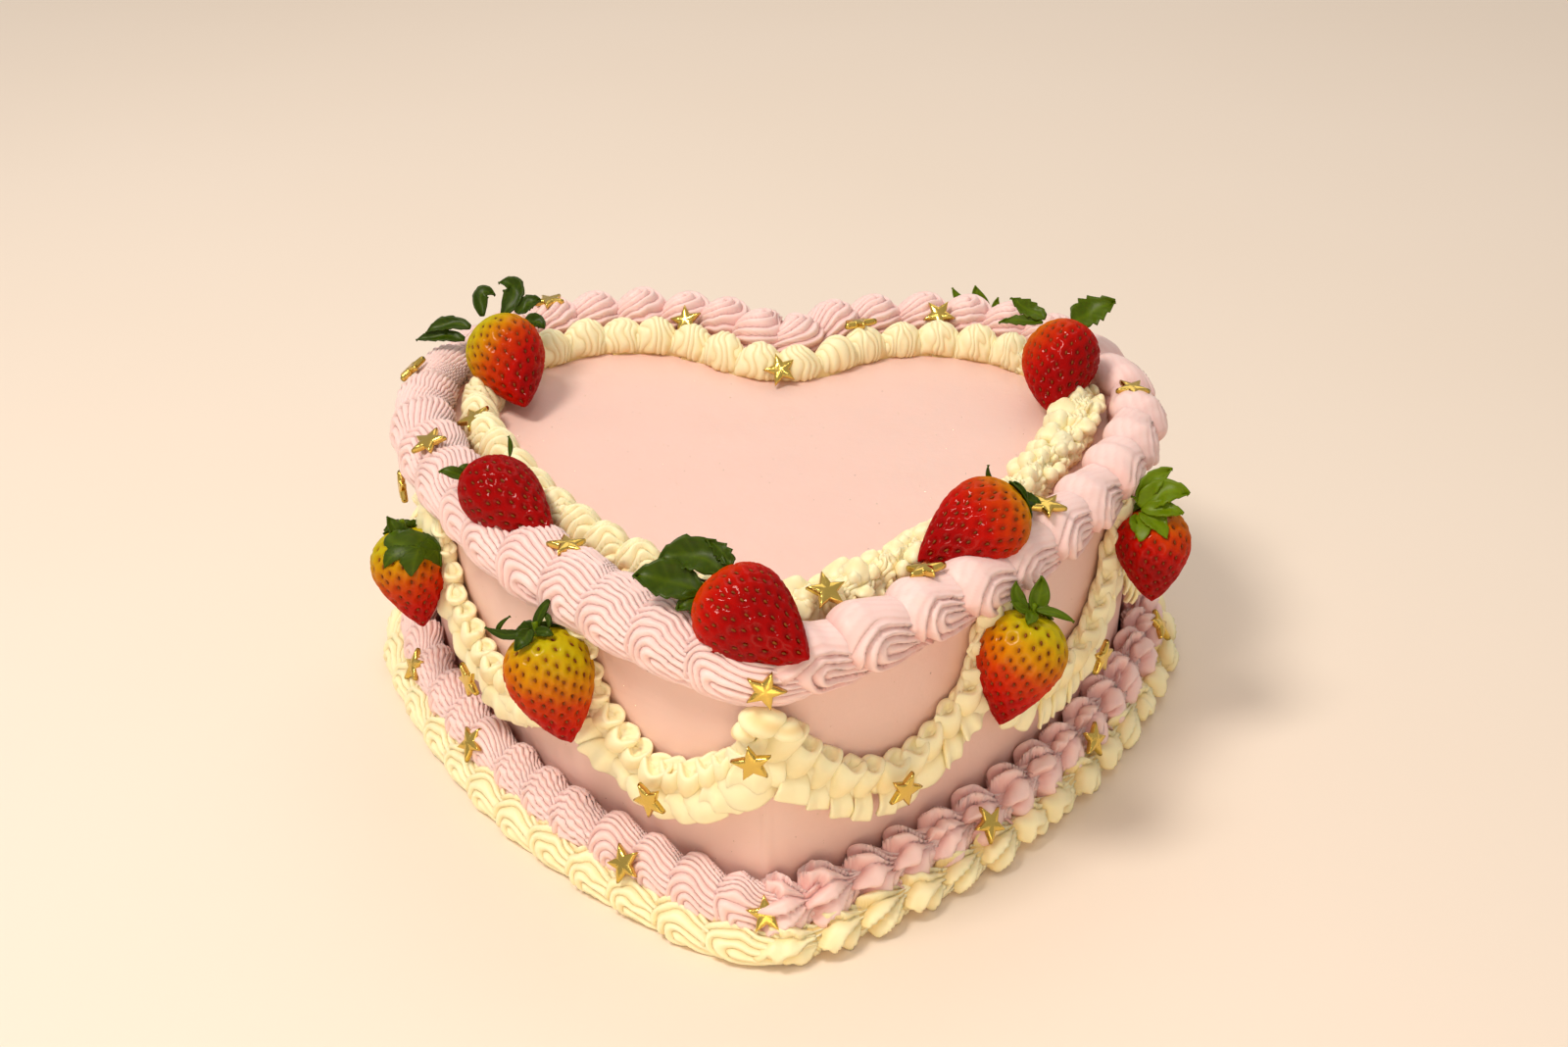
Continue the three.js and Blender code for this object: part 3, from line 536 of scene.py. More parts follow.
def scatter_tree():
    """Nodes that scatter small flakes over a surface, each turned a little its own way."""
    add, given = new_tree(
        "Flakes over a surface", Flake="Object", Density="Float", Smallest="Float", Seed="Int",
        Finish="Material",
    )
    spots = add(
        "GeometryNodeDistributePointsOnFaces",
        {"Mesh": given["Geometry"], "Density": given["Density"], "Seed": given["Seed"]},
        distribute_method="RANDOM",
    ).outputs
    flake = add("GeometryNodeObjectInfo", {"Object": given["Flake"], "As Instance": True})
    range_of_sizes = {2: given["Smallest"], 3: 1.0, "Seed": given["Seed"]}
    size = add("FunctionNodeRandomValue", range_of_sizes, data_type="FLOAT")
    sway = add(
        "FunctionNodeRandomValue",
        {"Min": (-0.5, -0.5, -3.0), "Max": (0.5, 0.5, 3.0), "Seed": given["Seed"]},
        data_type="FLOAT_VECTOR",
    )
    turned = add(
        "FunctionNodeRotateRotation",
        {"Rotation": spots["Rotation"], "Rotate By": add("FunctionNodeEulerToRotation", {"Euler": sway})},
        rotation_space="LOCAL",
    )
    set_out = add(
        "GeometryNodeInstanceOnPoints",
        {
            "Points": spots["Points"],
            "Instance": flake.outputs["Geometry"],
            "Rotation": turned,
            "Scale": size.outputs[1],
        },
    )
    return end_tree(add, set_out, given["Finish"])


def grown(name, base, tree, values):
    """The plain mesh that a node tree makes of a base mesh, as a new object."""
    source = keep(name + "_source", base)
    modifier = source.modifiers.new("Nodes", "NODES")
    modifier.node_group = tree
    for item in tree.interface.items_tree:
        if item.in_out == "INPUT" and item.name in values:
            modifier[item.identifier] = values[item.name]
    depsgraph = bpy.context.evaluated_depsgraph_get()
    mesh = bpy.data.meshes.new_from_object(source.evaluated_get(depsgraph))
    mesh.name = name
    source.modifiers.clear()
    bpy.data.objects.remove(source)
    if not len(mesh.polygons):
        raise RuntimeError(f"{name} came out empty")
    return keep(name, mesh)


def outline_curve(outline):
    """The outline as a closed curve that starts at the cleft and runs by the left half to the tip."""
    points = outline.at(np.linspace(-outline.half, outline.half, OUTLINE_STEPS, endpoint=False))
    curve = bpy.data.curves.new("outline", "CURVE")
    curve.dimensions = "3D"
    spline = curve.splines.new("POLY")
    spline.points.add(OUTLINE_STEPS - 1)
    flat = np.column_stack([points * MM, np.zeros(OUTLINE_STEPS), np.ones(OUTLINE_STEPS)])
    spline.points.foreach_set("co", flat.ravel())
    spline.use_cyclic_u = True
    return keep("outline_path", curve)


def set_along(
    name, places, parts, finish, outline=None, turns=None, sizes=None, kinds=None, spread=(0.0, 0.0), seed=1
):
    """One piece made of parts set at places, in millimetres, bent round an outline where one is given."""
    count = len(places)
    base = mesh_from(name + "_places", places, [])
    for key, kind, field, numbers in (
        ("turn", "FLOAT_VECTOR", "vector", np.zeros((count, 3)) if turns is None else turns),
        ("size", "FLOAT_VECTOR", "vector", np.ones((count, 3)) if sizes is None else sizes),
        ("kind", "INT", "value", np.arange(count) % len(parts) if kinds is None else kinds),
    ):
        base.attributes.new(key, kind, "POINT").data.foreach_set(field, np.ravel(numbers).tolist())
    shelf = bpy.data.collections.new(name + "_parts")
    bpy.context.scene.collection.children.link(shelf)
    for number, part in enumerate(parts):
        shelf.objects.link(bpy.data.objects.new(f"{name}_part_{number:02d}", part))
    values = {
        "Parts": shelf,
        "Bend": outline is not None,
        "Size Spread": float(spread[0]),
        "Turn Spread": float(spread[1]),
        "Seed": int(seed),
        "Finish": finish,
    }
    spare = list(shelf.objects)
    if outline:
        values["Outline"] = outline_curve(outline)
        spare.append(values["Outline"])
    piece = grown(name, base, bpy.data.node_groups.get("Parts along an outline") or piping_tree(), values)
    for obj in spare:
        bpy.data.objects.remove(obj)
    bpy.data.collections.remove(shelf)
    return piece


def new_material(name):
    """A material's shader, a function that adds nodes beside it, and the place on the piece."""
    material = bpy.data.materials.new(name)
    material.use_nodes = True
    add = functools.partial(add_node, material.node_tree)
    return material.node_tree.nodes["Principled BSDF"], add, add("ShaderNodeTexCoord").outputs["Object"]


def icing(name, crest, painted_shade, specks, softness, streaks=0.0, piped=True):
    """Buttercream: whipped butter and sugar, pushed through a toothed nozzle or smoothed with a knife.
    It is satin, lets a little light in and has pinprick holes; its folds, grooves and hollows are painted
    deeper in colour as painted shade."""
    shader, add, place = new_material(name)
    # Painted shade: a value from each mesh, 1 on lit crests and lower in valleys, folds, hollows and hidden
    # backs, which take the darker colour
    ridge = add("ShaderNodeAttribute", attribute_name="crest").outputs["Fac"]
    # The dye is a little uneven over about 12 mm
    cloud = add("ShaderNodeTexNoise", {"Vector": place, "Scale": 80.0, "Detail": 3.0})
    lift = add("ShaderNodeMath", {0: cloud, 1: 0.35, 2: ridge}, operation="MULTIPLY_ADD", use_clamp=True)
    # Air bubbles of about 0.4 mm, drawn at 1 mm to show, over soft swells of 8 mm
    bubbles = add("ShaderNodeTexNoise", {"Vector": place, "Scale": 900.0, "Detail": 2.0})
    swells = add("ShaderNodeTexNoise", {"Vector": place, "Scale": 130.0, "Detail": 2.0})
    fine = add("ShaderNodeBump", {"Strength": 0.12, "Distance": 0.0003, "Height": bubbles})
    normal = add("ShaderNodeBump", {"Strength": 0.35, "Distance": 0.0006, "Height": swells, "Normal": fine})
    if piped:
        # Grooves between the nozzle's teeth, 0.4 mm wide at the bottom: cut in by a bump and also painted
        # darker as painted shade
        tooth = add("ShaderNodeAttribute", attribute_name="phase").outputs["Fac"]
        for operation, number in (("MULTIPLY", math.pi), ("SINE", 0.0), ("ABSOLUTE", 0.0), ("POWER", 0.4)):
            tooth = add("ShaderNodeMath", {0: tooth, 1: number}, operation=operation)
        ridged = add("ShaderNodeAttribute", attribute_name="ridged").outputs["Fac"]
        sunk = add("ShaderNodeMath", {0: 1.0, 1: tooth}, operation="SUBTRACT")
        groove = add("ShaderNodeMath", {0: sunk, 1: ridged}, operation="MULTIPLY")
        lift = add("ShaderNodeMath", {0: groove, 1: -0.55, 2: lift}, operation="MULTIPLY_ADD", use_clamp=True)
        cut = {"Strength": 0.9, "Distance": 0.0006, "Height": groove, "Normal": normal}
        normal = add("ShaderNodeBump", cut, invert=True)
    if streaks:
        # The knife drags level streaks about 2 mm high and 60 mm long
        drawn = add("ShaderNodeMapping", {"Vector": place, "Scale": (16.0, 16.0, 480.0)})
        drag = add("ShaderNodeTexNoise", {"Vector": drawn, "Scale": 1.0, "Detail": 3.0})
        knife = {"Strength": streaks, "Distance": 0.0004, "Height": drag, "Normal": normal}
        normal = add("ShaderNodeBump", knife)
    # Painted shade: the shade colour where that value is low, the lit colour where it is high
    tint = add("ShaderNodeMix", {"Factor": lift, "A": linear(painted_shade), "B": linear(crest)}, data_type="RGBA")
    # Specks about 0.5 mm wide, one in each 14 mm
    grains = add("ShaderNodeTexVoronoi", {"Vector": place, "Scale": 70.0})
    speck = add("ShaderNodeMath", {0: grains, 1: 0.022}, operation="LESS_THAN")
    amount = add("ShaderNodeMath", {0: speck, 1: specks}, operation="MULTIPLY")
    dots = {"Factor": amount, "A": tint.outputs["Result"], "B": linear("#7a4a35")}
    dotted = add("ShaderNodeMix", dots, data_type="RGBA")
    feed(
        shader,
        {
            "Base Color": dotted.outputs["Result"],
            "Normal": normal,
            "Roughness": 0.42,
            "Specular IOR Level": 0.45,
            "IOR": 1.46,
            "Subsurface Weight": softness,
            "Subsurface Radius": (1.0, 0.55, 0.4),
            "Subsurface Scale": 0.003,
        },
    )


def fruit_skin(name, *colours):
    """Ripe strawberry: thin wet looking skin over red flesh, green near the crown when picked early."""
    shader, add, place = new_material(name)
    ripe = add("ShaderNodeAttribute", attribute_name="ripe").outputs["Fac"]
    pit = add("ShaderNodeAttribute", attribute_name="pit").outputs["Fac"]
    # Ripening runs in blotches of about 6 mm
    blotch = add("ShaderNodeTexNoise", {"Vector": place, "Scale": 170.0, "Detail": 3.0})
    drift = add("ShaderNodeMath", {0: blotch, 1: 0.22, 2: -0.11}, operation="MULTIPLY_ADD")
    level = add("ShaderNodeMath", {0: ripe, 1: drift}, operation="ADD", use_clamp=True)
    ramp = add("ShaderNodeValToRGB", {"Fac": level})
    stops = ramp.color_ramp.elements
    stops[0].color, stops[1].color = linear(colours[0]), linear(colours[-1])
    for number, colour in enumerate(colours[1:-1], 1):
        stops.new(number / (len(colours) - 1)).color = linear(colour)
    # Painted shade: the skin is darkened in the pits round the seeds
    dark = add("ShaderNodeMath", {0: pit, 1: 0.6}, operation="MULTIPLY")
    pitted = {"Factor": dark, "A": ramp.outputs["Color"], "B": linear("#a8582c")}
    base = add("ShaderNodeMix", pitted, data_type="RGBA", blend_type="MULTIPLY")
    # The skin's cells make a grain of 1.4 mm
    grain = add("ShaderNodeTexNoise", {"Vector": place, "Scale": 700.0, "Detail": 2.0})
    feed(
        shader,
        {
            "Base Color": base.outputs["Result"],
            "Normal": add("ShaderNodeBump", {"Strength": 0.15, "Distance": 0.0004, "Height": grain}),
            "Roughness": 0.35,
            "Specular IOR Level": 0.0,
            "Coat Weight": 0.24,
            "Coat Roughness": 0.07,
            "Subsurface Weight": 0.08,
            "Subsurface Radius": (1.0, 0.25, 0.12),
            "Subsurface Scale": 0.003,
        },
    )


def leaf_skin(name, young, old):
    """Strawberry leaf: matt green with a waxy film, paler along the veins, mottled over about 4 mm."""
    shader, add, place = new_material(name)
    vein = add("ShaderNodeAttribute", attribute_name="vein").outputs["Fac"]
    mottle = add("ShaderNodeTexNoise", {"Vector": place, "Scale": 260.0, "Detail": 3.0})
    lift = add("ShaderNodeMath", {0: mottle, 1: 0.2, 2: vein}, operation="MULTIPLY_ADD", use_clamp=True)
    tint = add("ShaderNodeMix", {"Factor": lift, "A": linear(old), "B": linear(young)}, data_type="RGBA")
    feed(
        shader,
        {
            "Base Color": tint.outputs["Result"],
            "Normal": add("ShaderNodeBump", {"Strength": 0.3, "Distance": 0.0003, "Height": mottle}),
            "Roughness": 0.36,
            "Specular IOR Level": 0.14,
            "Subsurface Weight": 0.1,
            "Subsurface Scale": 0.001,
        },
    )


def plain_skin(name, colour, other, scale, detail, roughness, shine):
    """A hard surface that drifts between two near colours: a seed's woody shell, a painted floor."""
    shader, add, place = new_material(name)
    mottle = add("ShaderNodeTexNoise", {"Vector": place, "Scale": scale, "Detail": detail})
    tint = add("ShaderNodeMix", {"Factor": mottle, "A": linear(colour), "B": linear(other)}, data_type="RGBA")
    feed(shader, {"Base Color": tint.outputs["Result"], "Roughness": roughness, "Specular IOR Level": shine})


def gold(name, colour, roughness):
    """Edible gold: moulded sugar dusted with gold lustre, rubbed until it shines like metal."""
    shader, add, place = new_material(name)
    # Dents of about 2.4 mm from the mould, duller where the brush missed them
    dents = add("ShaderNodeTexNoise", {"Vector": place, "Scale": 420.0, "Detail": 2.0})
    feed(
        shader,
        {
            "Base Color": linear(colour),
            "Metallic": 1.0,
            "Normal": add("ShaderNodeBump", {"Strength": 0.5, "Distance": 0.0004, "Height": dents}),
            "Roughness": add(
                "ShaderNodeMath", {0: dents, 1: 0.16, 2: roughness - 0.08}, operation="MULTIPLY_ADD"
            ),
        },
    )


FINISHES = {
    # Icing takes a lit colour, then a painted shade colour for valleys, folds and hollows; the smooth icing
    # mixes its two at one share, with noise
    "smooth_icing": (icing, "Smooth buttercream", "#eecbc0", "#eac2b6", 0.5, 0.2, 0.25, False),
    "pink_icing": (icing, "Pink buttercream", "#f9d8d3", "#e4a8a2", 0.5, 0.16),
    "cream_icing": (icing, "Cream buttercream", "#fff4c8", "#efcb7c", 0.25, 0.2),
    "strawberry": (fruit_skin, "Strawberry skin", "#b9a80e", "#c88504", "#c43c02", "#b80e00", "#990100"),
    "leaf": (leaf_skin, "Strawberry leaf", "#688004", "#132a02"),
    "seed": (plain_skin, "Strawberry seed", "#a35a14", "#3a1204", 300.0, 2.0, 0.4, 0.2),
    "gold_star": (gold, "Gold lustre", "#dabb60", 0.2),
    "flake": (gold, "Glitter flake", "#f6efe2", 0.12),
    "floor": (plain_skin, "Painted floor", "#f5e8da", "#f1e2d1", 3.0, 2.0, 0.6, 0.5),
}


def coat(key):
    """The material of a finish, made when it is first asked for."""
    make, name, *look = FINISHES[key]
    if name not in bpy.data.materials:
        make(name, *look)
    return bpy.data.materials[name]


def to_core(x, y, core):
    """Distance of each point from a core line."""
    best = np.full(x.shape, np.inf)
    for (ax, ay), (bx, by) in zip(core, core[1:]):
        span = (bx - ax) ** 2 + (by - ay) ** 2
        t = np.clip(((x - ax) * (bx - ax) + (y - ay) * (by - ay)) / span, 0, 1)
        best = np.minimum(best, np.hypot(x - ax - t * (bx - ax), y - ay - t * (by - ay)))
    return best


def ridge_lines(style, x, s, half, ridge, hinge, rng):
    """Where each point lies among the ridges of the nozzle, one whole number for each ridge, and how
    clear the ridges are there. X runs to the tail and S inwards over the bead, in millimetres."""
    sway = rng.uniform(-1, 1, 4)
    wavy = 0.6 * ripple(x, s, int(rng.integers(1 << 30)), 13.0)
    if style == "loops":
        s = s * (1 + 0.008 * np.clip(x, 0, None))
        low = -0.52 * half + 1.2 * sway[0]
        gap = to_core(x, s, [(1.5, low), (9, low - 1.8 + sway[1]), (26, low - 5 + 2 * sway[1])])
        return (gap + 1.3 * wavy) / (ridge * (1.14 - 0.012 * gap)) + 0.5, 1.0
    if style in ("swirl", "knot"):
        # Bands curl round an eye, hang as tongues below it and run off to the tail above it.
        # A knot is the same swirl, smaller, turned to the inside and grooved all round
        reach, eye, below = 12.2, 3.4, s + 0.4 * half
        if style == "knot":
            reach, eye, below = 40.0, 2.4, 0.22 * half - s
        behind, below = x - eye - 0.8 * sway[0], below + 0.8 * sway[1]
        bent = below + 0.22 * (np.hypot(behind, 4.0) + behind)
        drawn = np.where(bent < 0, 0.95, 1.3)
        gap = np.hypot(np.clip(behind, None, 0), drawn * bent)
        return (gap + 0.8 * wavy) / ridge + 0.45, np.clip((reach + 1.2 * sway[3] - gap) / 2.0, 0, 1)
    if style in ("fold", "dome"):
        # Ridges run across the row, bowed, and lean over to the inside
        tip = 0.45 * s if style == "fold" else 0.028 * (s - 0.1 * half) ** 2 - 0.35 * s
        return (x - tip + 2.8 * wavy) / ridge + sway[0], 0.9 if style == "fold" else 0.5
    if style == "crumb":
        return (s - 0.5 * x + 5 * wavy) / ridge, 0.7
    ahead, above = hinge[0] - x, s - hinge[1]
    out = np.hypot(ahead, above)
    turn = np.degrees(np.arctan2(above, ahead))
    # The lower lobes droop, the cap's folds bend up and are only pressed in at its edge
    bend = 0.85 * out * np.clip(-(turn + 15) / 30, -1, 1) * (1 + 0.3 * sway[0])
    turn = turn + bend + 4 * wavy + 3 * sway[1]
    pressed = np.where(turn > 26, out - 12.0, out - 4.0)
    folds = np.array(FOLDS[style])
    phase = np.interp(turn, folds, np.arange(len(folds)))
    breadth = np.diff(folds)[np.clip(phase.astype(int), 0, len(folds) - 2)]
    clear = np.clip(pressed / 3.0, 0, 1) * np.clip(breadth / 12, 0.4, 1) * (turn > -150)
    return phase / ridge, clear


def shell_mesh(name, border, manner, seed, depth):
    """One piped shell round its bead, head first, with its tail along X under the next head."""
    style, pitch, ridge, relief, slant = manner
    fan = style in FANS
    rng = np.random.default_rng(seed)
    _, up, wide, high = border["bead"]
    middle = math.radians(border["last"] + border["first"]) / 2
    mean = (wide + high) / 2
    half = math.radians(border["last"] - border["first"]) * mean / 2
    head = (FAN_HEAD if fan else SHELL_HEAD) * pitch * rng.uniform(0.94, 1.08)
    tail = SHELL_TAIL * pitch
    # Steps along it are shorter at the head, and a few rows close it where nothing shows
    share = np.linspace(0, 1, SHELL_STEPS)
    x = -head * HEAD_MARGIN + (head * HEAD_MARGIN + tail) * (0.72 * share + 0.28 * share**2)
    rim = half * RIM_MARGIN
    shown = np.linspace(-rim, rim, int(2 * rim / SHELL_ROW))
    hidden = np.linspace(middle + shown[-1] / mean, middle + shown[0] / mean + 2 * math.pi, 6)[1:-1]
    angles = np.concatenate([middle + shown / mean, hidden])
    px, s = np.meshgrid(x, np.concatenate([shown, np.full(len(hidden), 2 * half)]), indexing="ij")
    along_it = s + slant * px
    hinge = np.array(FANS.get(style, (0, 0))) * (pitch, half) + fan * rng.uniform(-0.6, 0.6, 2)
    phase, clear = ridge_lines(style, px, along_it, half, ridge, hinge, rng)
    part = phase % 1
    if fan:
        # Each fold lies over the one below it
        teeth = (1 - part) ** 0.8 * np.clip(part / 0.14, 0, 1)
        grown_out = 1 + 0.32 * (teeth - 0.5)
        ahead = (hinge[0] - px) / (hinge[0] + head) / grown_out
        room = np.where(s > hinge[1], half - hinge[1], half + hinge[1])
        room = room * np.where(ahead < 0, np.clip(1 + 0.5 * ahead, 0.5, 1), 1.0)
        across = (s - hinge[1]) / room / grown_out
        reach = np.clip(ahead, 0, None) ** 5 + np.abs(across) ** 4
        # Behind its head the shell drops away under the front of the next one
        drop = np.clip((px + 0.22 * pitch) / (0.64 * pitch), 0, 1)
        top = 1.17 - 0.52 * drop**2 * (3 - 2 * drop)
    else:
        teeth = (0.5 - 0.5 * np.cos(2 * math.pi * phase)) ** 0.62
        grown_out = 1 + POINTED.get(style, 0.06) * (teeth - 0.5) * clear
        lean = -0.08 * s if style == "loops" else 0.0
        across = along_it / half + 0.03 * ripple(px, s, seed + 3, 16.0)
        if style == "swirl":
            # Each band steps up from the one inside it, and the head's lower front draws back
            teeth = (1 - part) ** 0.8 * np.clip(part / 0.16, 0, 1)
            lean = -0.6 * np.clip(-0.33 * half - s, 0, None)
            across = (s + 0.3 * np.clip(px - 2, 0, None)) / (0.92 * half)
        ahead = (px + lean) / (head * grown_out)
        reach = np.where(ahead < 0, np.abs(ahead) ** 2.7, 0) + np.abs(across / grown_out) ** 4.0
        if style in ("knot", "dome", "fold"):
            top = 1.17 - 0.5 * np.clip((px - 0.05 * pitch) / (0.6 * pitch), -1, 1.5) ** 2
        else:
            run = np.clip((px + 2) / (tail + 2), 0, 1)
            top = 1.08 - 0.46 * run + 0.03 * ripple(px, s, seed + 9, 18.0)
    edge = np.clip(1 - reach, 0, 1) ** (0.36 if fan else 0.5)
    size = SHELL_LOW + (top - SHELL_LOW) * edge * np.clip((1 - px / tail) / 0.15, 0, 1) ** 0.5
    mask = clear * np.clip(edge * 2.2, 0, 1)
    raised = depth * relief * (teeth - 0.6) * mask
    if style == "swirl":
        raised = raised - 1.5 * np.clip(1 - phase / 4, 0, 1) * mask
    if style == "crumb":
        raised = raised + 1.1 * ripple(px, s, seed + 5, 5.0) * np.clip(edge * 2, 0, 1)
    back = s > 1.9 * half
    size = np.where(back, SHELL_CORE, size)
    raised, mask = np.where(back, 0.0, raised), np.where(back, 0.0, mask)
    py = -(wide * size + raised) * np.cos(angles)
    # Its underside stays just above the floor
    pz = np.maximum((high * size + raised) * np.sin(angles), 0.1 - up)
    # Painted shade: darker towards the shell's outline, in the valleys between its ridges and on its hidden
    # back
    solid = closed(
        grid_points(px, py, pz, (x[0] - 0.2, 0, 0), (x[-1] + 0.2, 0, 0)),
        SHELL_STEPS,
        phase=np.append(phase, [0.5, 0.5]),
        ridged=np.append(mask, [0, 0]),
        crest=np.append(np.where(back, 0, edge * (0.65 + 0.35 * teeth)), [0, 0]),
    )
    return mesh_from(name, *solid)


def crumb_mesh(name, seed, rows=14, columns=20):
    """A clot of stiff icing that broke up as it left the nozzle."""
    rng = np.random.default_rng(seed)
    latitude, longitude = ball_grid(rows, columns)
    x, y = np.cos(latitude) * np.cos(longitude), np.cos(latitude) * np.sin(longitude)
    ball = grid_points(x, y, np.sin(latitude), (0, 0, -1), (0, 0, 1))
    knobs = unit(rng.normal(size=(11, 3)))
    lift = np.exp(-((1 - (ball @ knobs.T).max(1)) / 0.1))
    points = ball * (CRUMB_RADIUS * (0.85 + 0.24 * lift))[:, None] * rng.uniform(0.75, 1.25, 3)
    # Painted shade in the hollows between the knobs
    return mesh_from(name, *closed(points, rows, crest=np.clip(0.6 + 0.5 * lift, 0, 1)))


def cup_mesh(name, slit, seed, columns=36):
    """The upper fold of a ruffle: a ribbon of icing curled over until its lips all but meet."""
    rng = np.random.default_rng(seed)
    rows = len(CUP)
    size, height = np.array(CUP).T[:, :, None]
    turn = around(columns)
    opened = np.clip((height - 1) / 6, 0, 1)
    inner = np.arange(rows)[:, None] > 8
    deep = CUP_DEEP * (1 - 0.3 * slit * opened) * np.where(inner, 1 - 0.75 * slit, 1.0)
    pinch = 1 - 0.35 * opened * np.abs(np.cos(turn)) ** 3
    lean, curl = rng.uniform(0.1, 0.3), rng.uniform(-0.5, 0.5)
    x = CUP_WIDE * size * np.cos(turn) * np.where(inner, 1 - 0.2 * slit, 1.0) + lean * height
    out = CUP_OUT + deep * size * np.sin(turn) * pinch + (0.4 + 0.5 * slit) * np.sin(2 * turn + curl) * opened
    out = out + 0.35 * ripple(turn, height / 4, seed, 2.2) * opened
    lip = 1.1 * np.cos(turn + curl) ** 2 + 0.6 * np.sin(turn * 3 + curl) - 1.1 * np.sin(turn)
    z = height + 0.8 * lip * opened**2 + rng.uniform(-0.5, 0.5) * opened
    poles = (0, -CUP_OUT, CUP[0][1] - 0.4), (5 * lean, -CUP_OUT, CUP[-1][1] - 0.1)
    points = grid_points(x, -np.maximum(out, CUP_ROOT), z, *poles)
    # Painted shade: darker inside the curl, the more so where the slit is tight, and darker low on the
    # outside towards the root
    shade = np.broadcast_to(np.where(inner, 0.85 - 0.2 * slit, 0.45 + 0.55 * opened), (rows, columns))
    return mesh_from(name, *closed(points, rows, crest=np.append(shade, [0.2, 0.5])))


def petal_mesh(name, wide, long, square, seed, rows=16, columns=19):
    """The lower part of a ruffle: a hanging petal, thick at the pinch above and thin at its edge.
    A square one is a narrow tongue with a hollow down its middle."""
    rng = np.random.default_rng(seed)
    v, u = np.linspace(0, 1, rows)[:, None], np.linspace(-1, 1, columns)
    spread = 2.8 + (wide - 2.8) * np.sin(v * math.pi / 2) ** 0.7
    reach = long * (1 - (0.06 if square else 0.26) * np.abs(u) ** 3 - (0.0 if square else 0.1) * u)
    reach = reach + 0.4 * np.sin(4 * u + rng.uniform(0, 6)) * (not square)
    folds = rng.choice([1.0, 1.5, 2.0])
    wave = 0.8 * np.cos(folds * math.pi * u + rng.uniform(-0.5, 0.5)) * v
    if square:
        wave = 1.5 * (np.abs(u) ** 1.5 - 0.5) * np.sin(math.pi * v * 0.75)
    x = spread * u * (1 - 0.06 * v * u * u) + rng.uniform(-0.8, 0.8) * v
    bulge = 2.4 * np.sin(math.pi * np.clip(v * 0.85 + 0.1, 0, 1))
    bulge = bulge * (1 - 0.5 * np.abs(u) ** (6 if square else 2))
    out = 3.4 + bulge + 1.6 * v + wave - (0.3 if square else 1.1) * u
    z = 0.6 - reach * v - (0.42 * x * v if square else 0)
    front = grid_points(x, -np.maximum(out, 1.6), z).reshape(rows, columns, 3)
    thickness = np.broadcast_to(2.2 - 1.3 * v, (rows, columns))
    # Painted shade: darker at the pinch under the cup and a little towards the side edges
    crest = np.clip(0.2 + 1.6 * v, 0, 1) * (1 - 0.25 * np.abs(u) ** 4)
    return mesh_from(name, *sheet(front, thickness, crest=crest))


def blob_mesh(name, sizes, turns, seed, rows=18, columns=28):
    """A soft dollop with a slow spiral over it."""
    latitude, longitude = ball_grid(rows, columns)
    spiral = 0.05 * turns * np.sin(2 * longitude + 3.5 * latitude) * np.cos(latitude)
    radius = 1 + spiral + 0.03 * ripple(longitude, latitude, seed, 2.0)
    points = grid_points(
        sizes[0] * radius * np.cos(latitude) * np.cos(longitude),
        sizes[1] * radius * np.cos(latitude) * np.sin(longitude),
        sizes[2] * radius * np.sin(latitude),
        (0, 0, -sizes[2]),
        (0, 0, sizes[2]),
    )
    # Painted shade in the grooves of the spiral
    crest = np.append(np.clip(0.65 + 4 * spiral, 0, 1), [0.5, 0.5])
    return mesh_from(name, *closed(points, rows, crest=crest))


class Berry:
    """One strawberry: its place, its own axes with Z from the tip to the crown, and its flesh."""

    def __init__(self, crown, tip, radius, ripe, lean, seed):
        axis = np.array(crown, float) - tip
        self.tip, self.length = np.array(tip, float), float(np.linalg.norm(axis))
        self.turn = np.array(Vector(axis).to_track_quat("Z", "Y").to_matrix())
        self.radius, self.ripe, self.lean, self.seed = radius, ripe, lean, seed

    def placed(self, points):
        """Points from the berry's own axes to the cake's."""
        return points @ self.turn.T + self.tip

    def girth(self, share):
        """Radius of the flesh at a share of the way from the tip to the crown."""
        return self.radius * np.clip(np.sin(math.pi * np.clip(share, 0, 1) ** 1.7), 0, 1) ** 0.46

    def surface(self, share, angle):
        """Points of the skin in the berry's own axes, a little lumpy and hollow under the crown."""
        phase = np.random.default_rng(self.seed).uniform(0, 2 * math.pi, 3)
        lumps = 0.045 * np.cos(2 * angle + phase[0]) + 0.025 * np.cos(3 * angle + phase[1] + 2 * share)
        radius = self.girth(share) * (1 + lumps + 0.02 * np.sin(5 * share + phase[2]))
        dip = CROWN_DIP * np.clip((share - 0.93) / 0.07, 0, 1) ** 2
        height = share * self.length - dip
        return np.stack(np.broadcast_arrays(radius * np.cos(angle), radius * np.sin(angle), height), -1)

    def seed_places(self):
        """Shares and angles of the seeds, in a spiral with even spacing, as they grow."""
        levels = np.linspace(0, 1, 400)
        girth = self.girth(levels)
        area = np.cumsum(girth)
        count = int(2 * math.pi * girth.mean() * self.length / SEED_AREA)
        share = np.interp((np.arange(count) + 0.5) / count, area / area[-1], levels)
        return share, np.arange(count) * SEED_ANGLE + self.seed + 0.08 * uneven(count, seed=self.seed)


def all_berries(seed):
    """The strawberries by name."""
    ends = {}
    for name, (crown, tip, *look) in (TOP_BERRIES | WALL_BERRIES).items():
        if name in WALL_BERRIES:
            along, out, height = zip(crown, tip)
            crown, tip = np.column_stack([WALL.at(along, out), height])
        ends[name] = Berry(crown, tip, *look, seed + len(ends))
    return ends


